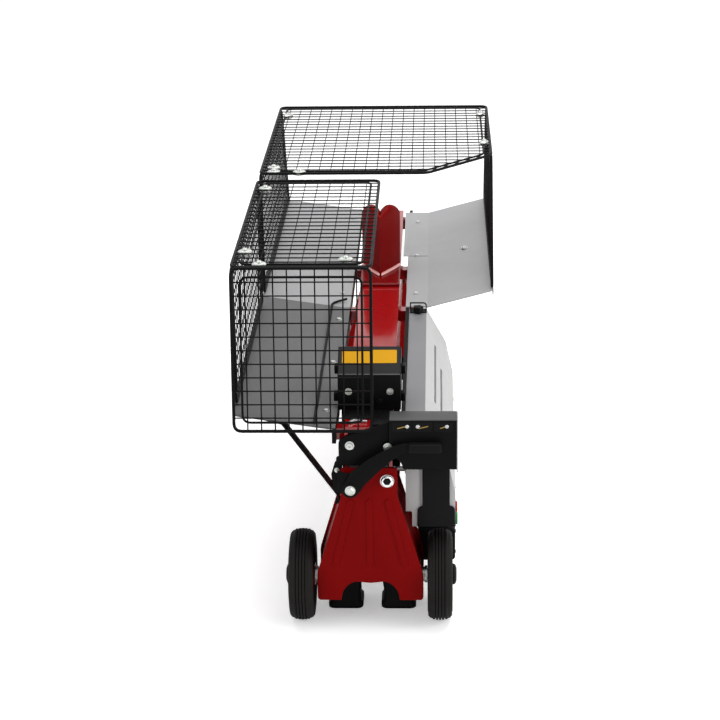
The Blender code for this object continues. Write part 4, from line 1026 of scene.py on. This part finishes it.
def make_cover_details():
    """Skin of the cover's flange, its end cap and trim, the knob's bracket and the screws."""
    low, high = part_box("motor_cover")
    flange_right = low.x + FLANGE_WIDTH
    single("cover_flange_skin", "flange_grey", add_block,
           (low.x + 0.0004, low.y + 0.0006, high.z - 0.0008),
           (flange_right - 0.0008, high.y - 0.0006, high.z + 0.0003), 0.0003, 1)
    floor = low.z
    cap_top = floor + CAP_TOP
    step_z = floor + CAP_STEP
    cap = [(low.x + 0.017, floor + 0.0005), (high.x - 0.0002, floor + 0.0005)]
    cap += shifted((high.x, step_z), [(-0.0006, -0.004), (-0.004, 0.0), (-0.0085, 0.001)])
    cap += [(high.x - 0.0085, cap_top), (low.x + 0.0255, cap_top)]
    cap += shifted((low.x, step_z), [(0.0255, 0.001), (0.0205, -0.001), (0.0175, -0.006)])
    single("cover_end_cap", "black_plastic", add_plate, cap, "XZ", low.y - 0.0035,
           low.y - 0.0003, 0.0012, 3)
    trim = rectangle(low.x + 0.0215, step_z + 0.002, low.x + 0.025, cap_top)
    single("cover_end_trim", "flange_grey", add_plate, trim, "XZ", low.y - 0.0022,
           low.y - 0.0003, 0.0005, 1)
    work = bmesh.new()
    turn = (flange_right - 0.006, high.z + 0.007)
    post = [(low.x + 0.001, high.z + 0.013)] + arc(turn, 0.006, 90, 0, 6)
    post += [(flange_right, high.z + 0.0002), (flange_right - 0.002, high.z + 0.0002)]
    post += arc(turn, 0.004, 0, 90, 6) + [(low.x + 0.001, high.z + 0.011)]
    add_plate(work, post, "XZ", high.y - 0.0035, high.y - 0.0005, 0.0006)
    left_post = rectangle(low.x + 0.001, high.z + 0.0002, low.x + 0.003, high.z + 0.0125)
    add_plate(work, left_post, "XZ", high.y - 0.0035, high.y - 0.0005, 0.0005, 1)
    shelf = rectangle(high.y - 0.022, high.z + 0.0002, high.y - 0.001, high.z + 0.002)
    add_plate(work, shelf, "YZ", low.x + 0.001, flange_right, 0.0005, 1)
    piece("cover_bracket", work, "black_paint")
    work = bmesh.new()
    for distances, z in COVER_SCREWS:
        for distance in distances:
            add_pan_head(work, 0.0036, "X", (high.x - 0.0004, station(distance), z), 0.0022)
    piece("cover_screws", work, "zinc")


def make_switch_box():
    """Two-part switch housing under the motor cover, with button bezels and the inlet's pins."""
    low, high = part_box("switch_box")
    seam = high.z - SWITCH_LOWER_DROP
    work = bmesh.new()
    lower = rounded(rectangle(low.x, low.z, high.x, seam), 0.007, 5)
    add_plate(work, lower, "XZ", low.y, high.y, 0.0022, 3)
    upper = rounded(rectangle(low.x + 0.002, seam - 0.003, high.x - SWITCH_STEP, high.z), 0.003, 3)
    add_plate(work, upper, "XZ", low.y + 0.004, high.y - 0.004, 0.0012)
    piece("switch_housing", work, "black_plastic", stands_for=("switch_box",))
    work = bmesh.new()
    for name in ("start_button", "stop_button"):
        centre = middle(name)
        add_turned(work, BEZEL, "X", (high.x - 0.0006, centre.y, centre.z), 36)
    for y in (low.y + 0.012, high.y - 0.012):
        for z in (low.z + 0.01, seam - 0.01):
            add_pan_head(work, 0.0026, "X", (high.x - 0.0006, y, z), 0.0016)
    piece("switch_bezels", work, "black_plastic")
    inlet_low, inlet_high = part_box("power_inlet")
    inlet = middle("power_inlet")
    work = bmesh.new()
    for x, z in INLET_PINS:
        add_block(work, (inlet.x + x - 0.001, inlet_low.y + 0.004, inlet.z + z - 0.0025),
                  (inlet.x + x + 0.001, inlet_high.y - 0.003, inlet.z + z + 0.0025), 0.0003, 1)
    piece("inlet_pins", work, "steel")


def make_tray_details():
    """Bolts of the trays, the strut, the right tray's seam and strip, and the bar on the left."""
    work = bmesh.new()
    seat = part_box("tray_left_near")[0].z + 0.002
    right_low, right_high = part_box("tray_right")
    for node, side in (("tray_left_near", -1), ("tray_left_far", -1), ("tray_right", 1)):
        low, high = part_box(node)
        for share in TRAY_BOLT_SHARES:
            y = low.y + (high.y - low.y) * share
            add_hex_bolt(work, 0.004, "Z", (side * TRAY_BOLT_X, y, seat), 0.0035)
    rise = (right_high.z - seat) / (right_high.x - TRAY_FOLD_X)
    on_slope = seat + rise * (STOP_SCREW_X - TRAY_FOLD_X) + 0.0012
    add_pan_head(work, 0.005, "Z", (STOP_SCREW_X, station(0.76), on_slope))
    piece("tray_bolts", work, "zinc")
    strut_low, strut_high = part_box("tray_strut")
    foot_x = -LEG_TOP_HALF - 0.0004
    centres = [Vector((foot_x - 0.0016, STRUT_FOOT)), Vector((foot_x - 0.004, STRUT_KNEE)),
               Vector((strut_low.x + 0.026, strut_high.z - 0.0095)),
               Vector((strut_low.x + 0.002, strut_high.z - 0.0028))]
    upper, lower = ribbon(centres, [STRUT_HALF] * len(centres))
    single("tray_strut_bar", "black_paint", add_plate, upper + lower[::-1], "XZ", strut_low.y,
           strut_high.y, 0.0006, stands_for=("tray_strut",))
    single("strut_bolt", "black_paint", add_hex_bolt, 0.0042, "-X",
           (foot_x - 0.003, middle("tray_strut").y, STRUT_BOLT_HEIGHT), 0.0052)
    seam = rectangle(0.05, station(0.77), 0.085, station(0.7725))
    single("tray_seam", "tray_grey", add_plate, seam, "XY", seat - 0.0005, seat + 0.001,
           0.0003, 1)
    single("tray_inner_strip", "tray_grey", add_block,
           (STRIP_INNER, station(STRIP_NEAR), seat - 0.0006),
           (right_low.x + 0.001, right_high.y - 0.001, seat + 0.0006), 0.0003, 1)
    lift = seat + (BAR_X - TRAY_BEND) * sin(TRAY_SLOPE) + BAR
    bar = [(x - BAR_X, station(distance), lift) for x, distance in (
        (0.0, -0.045), (0.0, 0.484), (0.003, 0.492), (0.01, 0.5), (0.024, 0.512))]
    wires("tray_bar", [bar], BAR, sides=3)


def make_machine_details():
    """Cooling fins of the motor and the bolts of the cylinder's anchor."""
    low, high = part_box("motor")
    radius = (high.x - low.x) / 2
    centre = Matrix.Translation(((low.x + high.x) / 2, 0, high.z - radius))
    work = bmesh.new()
    for number in range(FINS):
        angle = 2 * pi * number / FINS
        if -0.75 < cos(angle) and sin(angle) < -0.25:
            continue
        add_block(work, (radius - 0.001, low.y + 0.02, -0.0008),
                  (radius + 0.0022, high.y - 0.02, 0.0008), 0.0003, 1,
                  centre @ Matrix.Rotation(-angle, 4, "Y"))
    piece("motor_fins", work, "cast_iron")
    anchor_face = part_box("cylinder_anchor")[1].y - 0.0005
    work = bmesh.new()
    for x in (-ANCHOR_BOLT_X, ANCHOR_BOLT_X):
        for z in ANCHOR_BOLT_HEIGHTS:
            add_hex_bolt(work, 0.005, "Y", (x, anchor_face, z), 0.005)
    piece("anchor_bolts", work, "zinc")


def make_beam_details():
    """Weld beads along the rail tabs, and the cap and hook on the beam's near end."""
    work = bmesh.new()
    for distance in TAB_STATIONS:
        y = station(distance)
        for side in (-1, 1):
            left, right = sorted((side * TAB_X, side * (TAB_X + 0.004)))
            add_block(work, (left, y - 0.01, DECK - 0.0068), (right, y + 0.01, DECK - 0.0045),
                      0.0008)
    piece("beam_welds", work, "red_paint", smooth=60)
    near = BEAM_LOW.y
    bottom = DECK + 0.0003
    cap_top = DECK + 0.0045
    work = bmesh.new()
    add_block(work, (0.004, near + 0.0005, bottom), (TAB_X, near + 0.058, cap_top))
    add_block(work, (-TAB_X, near + 0.03, bottom), (0.0045, near + 0.058, cap_top))
    piece("deck_end_cap", work, "black_paint")
    hook = shifted((0.0, near), [(-0.03, 0.012), (-0.024, 0.026), (-0.002, 0.02),
                                 (-0.002, 0.015), (-0.021, 0.019), (-0.026, 0.01)])
    single("deck_end_hook", "steel", add_plate, hook, "XY", bottom, DECK + 0.004, 0.0006)


def make_stage():
    """White floor that runs past the edges of every view."""
    work = bmesh.new()
    bmesh.ops.create_grid(work, x_segments=4, y_segments=4, size=FLOOR_REACH)
    mesh = bpy.data.meshes.new("floor")
    work.to_mesh(mesh)
    work.free()
    floor = bpy.data.objects.new("floor", mesh)
    show(floor)
    made = bpy.data.materials.new("floor_white")
    made.use_nodes = True
    tree = made.node_tree
    shader = fill(tree.nodes["Principled BSDF"], {
        "Base Color": (FLOOR_WHITE, FLOOR_WHITE, FLOOR_WHITE, 1.0), "Roughness": 0.9,
        "Specular IOR Level": 0.1})
    seen = tree.nodes.new("ShaderNodeLightPath").outputs["Is Camera Ray"]
    share = add_node(tree, "Math", {0: seen, 1: FLOOR_GLOW})
    share.operation = "MULTIPLY"
    glow = add_node(tree, "Emission", {"Strength": share.outputs["Value"]})
    both = add_node(tree, "AddShader", {
        0: shader.outputs["BSDF"], 1: glow.outputs["Emission"]})
    fill(tree.nodes["Material Output"], {"Surface": both.outputs["Shader"]})
    mesh.materials.append(made)


def make_world():
    """Soft surround that shows as plain white to the camera and in reflections."""
    world = bpy.data.worlds.new("studio")
    world.use_nodes = True
    bpy.context.scene.world = world
    tree = world.node_tree
    surround = fill(tree.nodes["Background"], {
        "Color": (1.0, 1.0, 1.0, 1.0), "Strength": WORLD_LIGHT})
    white = add_node(tree, "Background", {
        "Color": (1.0, 1.0, 1.0, 1.0), "Strength": 1.0})
    path = tree.nodes.new("ShaderNodeLightPath")
    seen = path.outputs["Is Camera Ray"]
    for ray in ("Is Glossy Ray", "Is Transmission Ray"):
        either = add_node(tree, "Math", {0: seen, 1: path.outputs[ray]})
        either.operation = "MAXIMUM"
        seen = either.outputs["Value"]
    choose = add_node(tree, "MixShader", {
        "Fac": seen, 1: surround.outputs["Background"], 2: white.outputs["Background"]})
    fill(tree.nodes["World Output"], {"Surface": choose.outputs["Shader"]})


def make_lights():
    for name, at, side, power in LIGHTS:
        light = bpy.data.lights.new(name, "AREA")
        light.shape = "RECTANGLE"
        light.size = side
        light.size_y = side
        light.energy = power
        made = bpy.data.objects.new(name, light)
        made.location = at
        towards = Vector(LIGHT_TARGET) - Vector(at)
        made.rotation_euler = towards.to_track_quat("-Z", "Y").to_euler()
        show(made)


def make_camera():
    data = bpy.data.cameras.new("camera")
    data.lens = CAMERA_LENS
    data.sensor_width = CAMERA_SENSOR
    data.clip_end = CAMERA_CLIP
    camera = bpy.data.objects.new("camera", data)
    turn = (Matrix.Rotation(CAMERA_YAW, 4, "Z") @ Matrix.Rotation(CAMERA_TILT, 4, "X")
            @ Matrix.Rotation(CAMERA_ROLL, 4, "Z"))
    place = Matrix.Translation((CAMERA_AT[0], station(CAMERA_AT[1]), CAMERA_AT[2]))
    camera.matrix_world = place @ turn
    show(camera)
    bpy.context.scene.camera = camera


dress_cad()
make_cage()
make_clamps()
make_wheels()
make_leg("leg_near", upstand=True)
make_leg("leg_far", upstand=False)
make_feet()
make_wedge()
make_pusher()
make_pusher_slope()
make_pusher_fittings()
make_lever()
make_stop_bracket()
make_end_bracket()
make_housing_details()
make_plug_details()
make_cover_details()
make_switch_box()
make_tray_details()
make_machine_details()
make_beam_details()
make_stage()
make_world()
make_lights()
make_camera()
bpy.context.scene.view_settings.view_transform = "Standard"
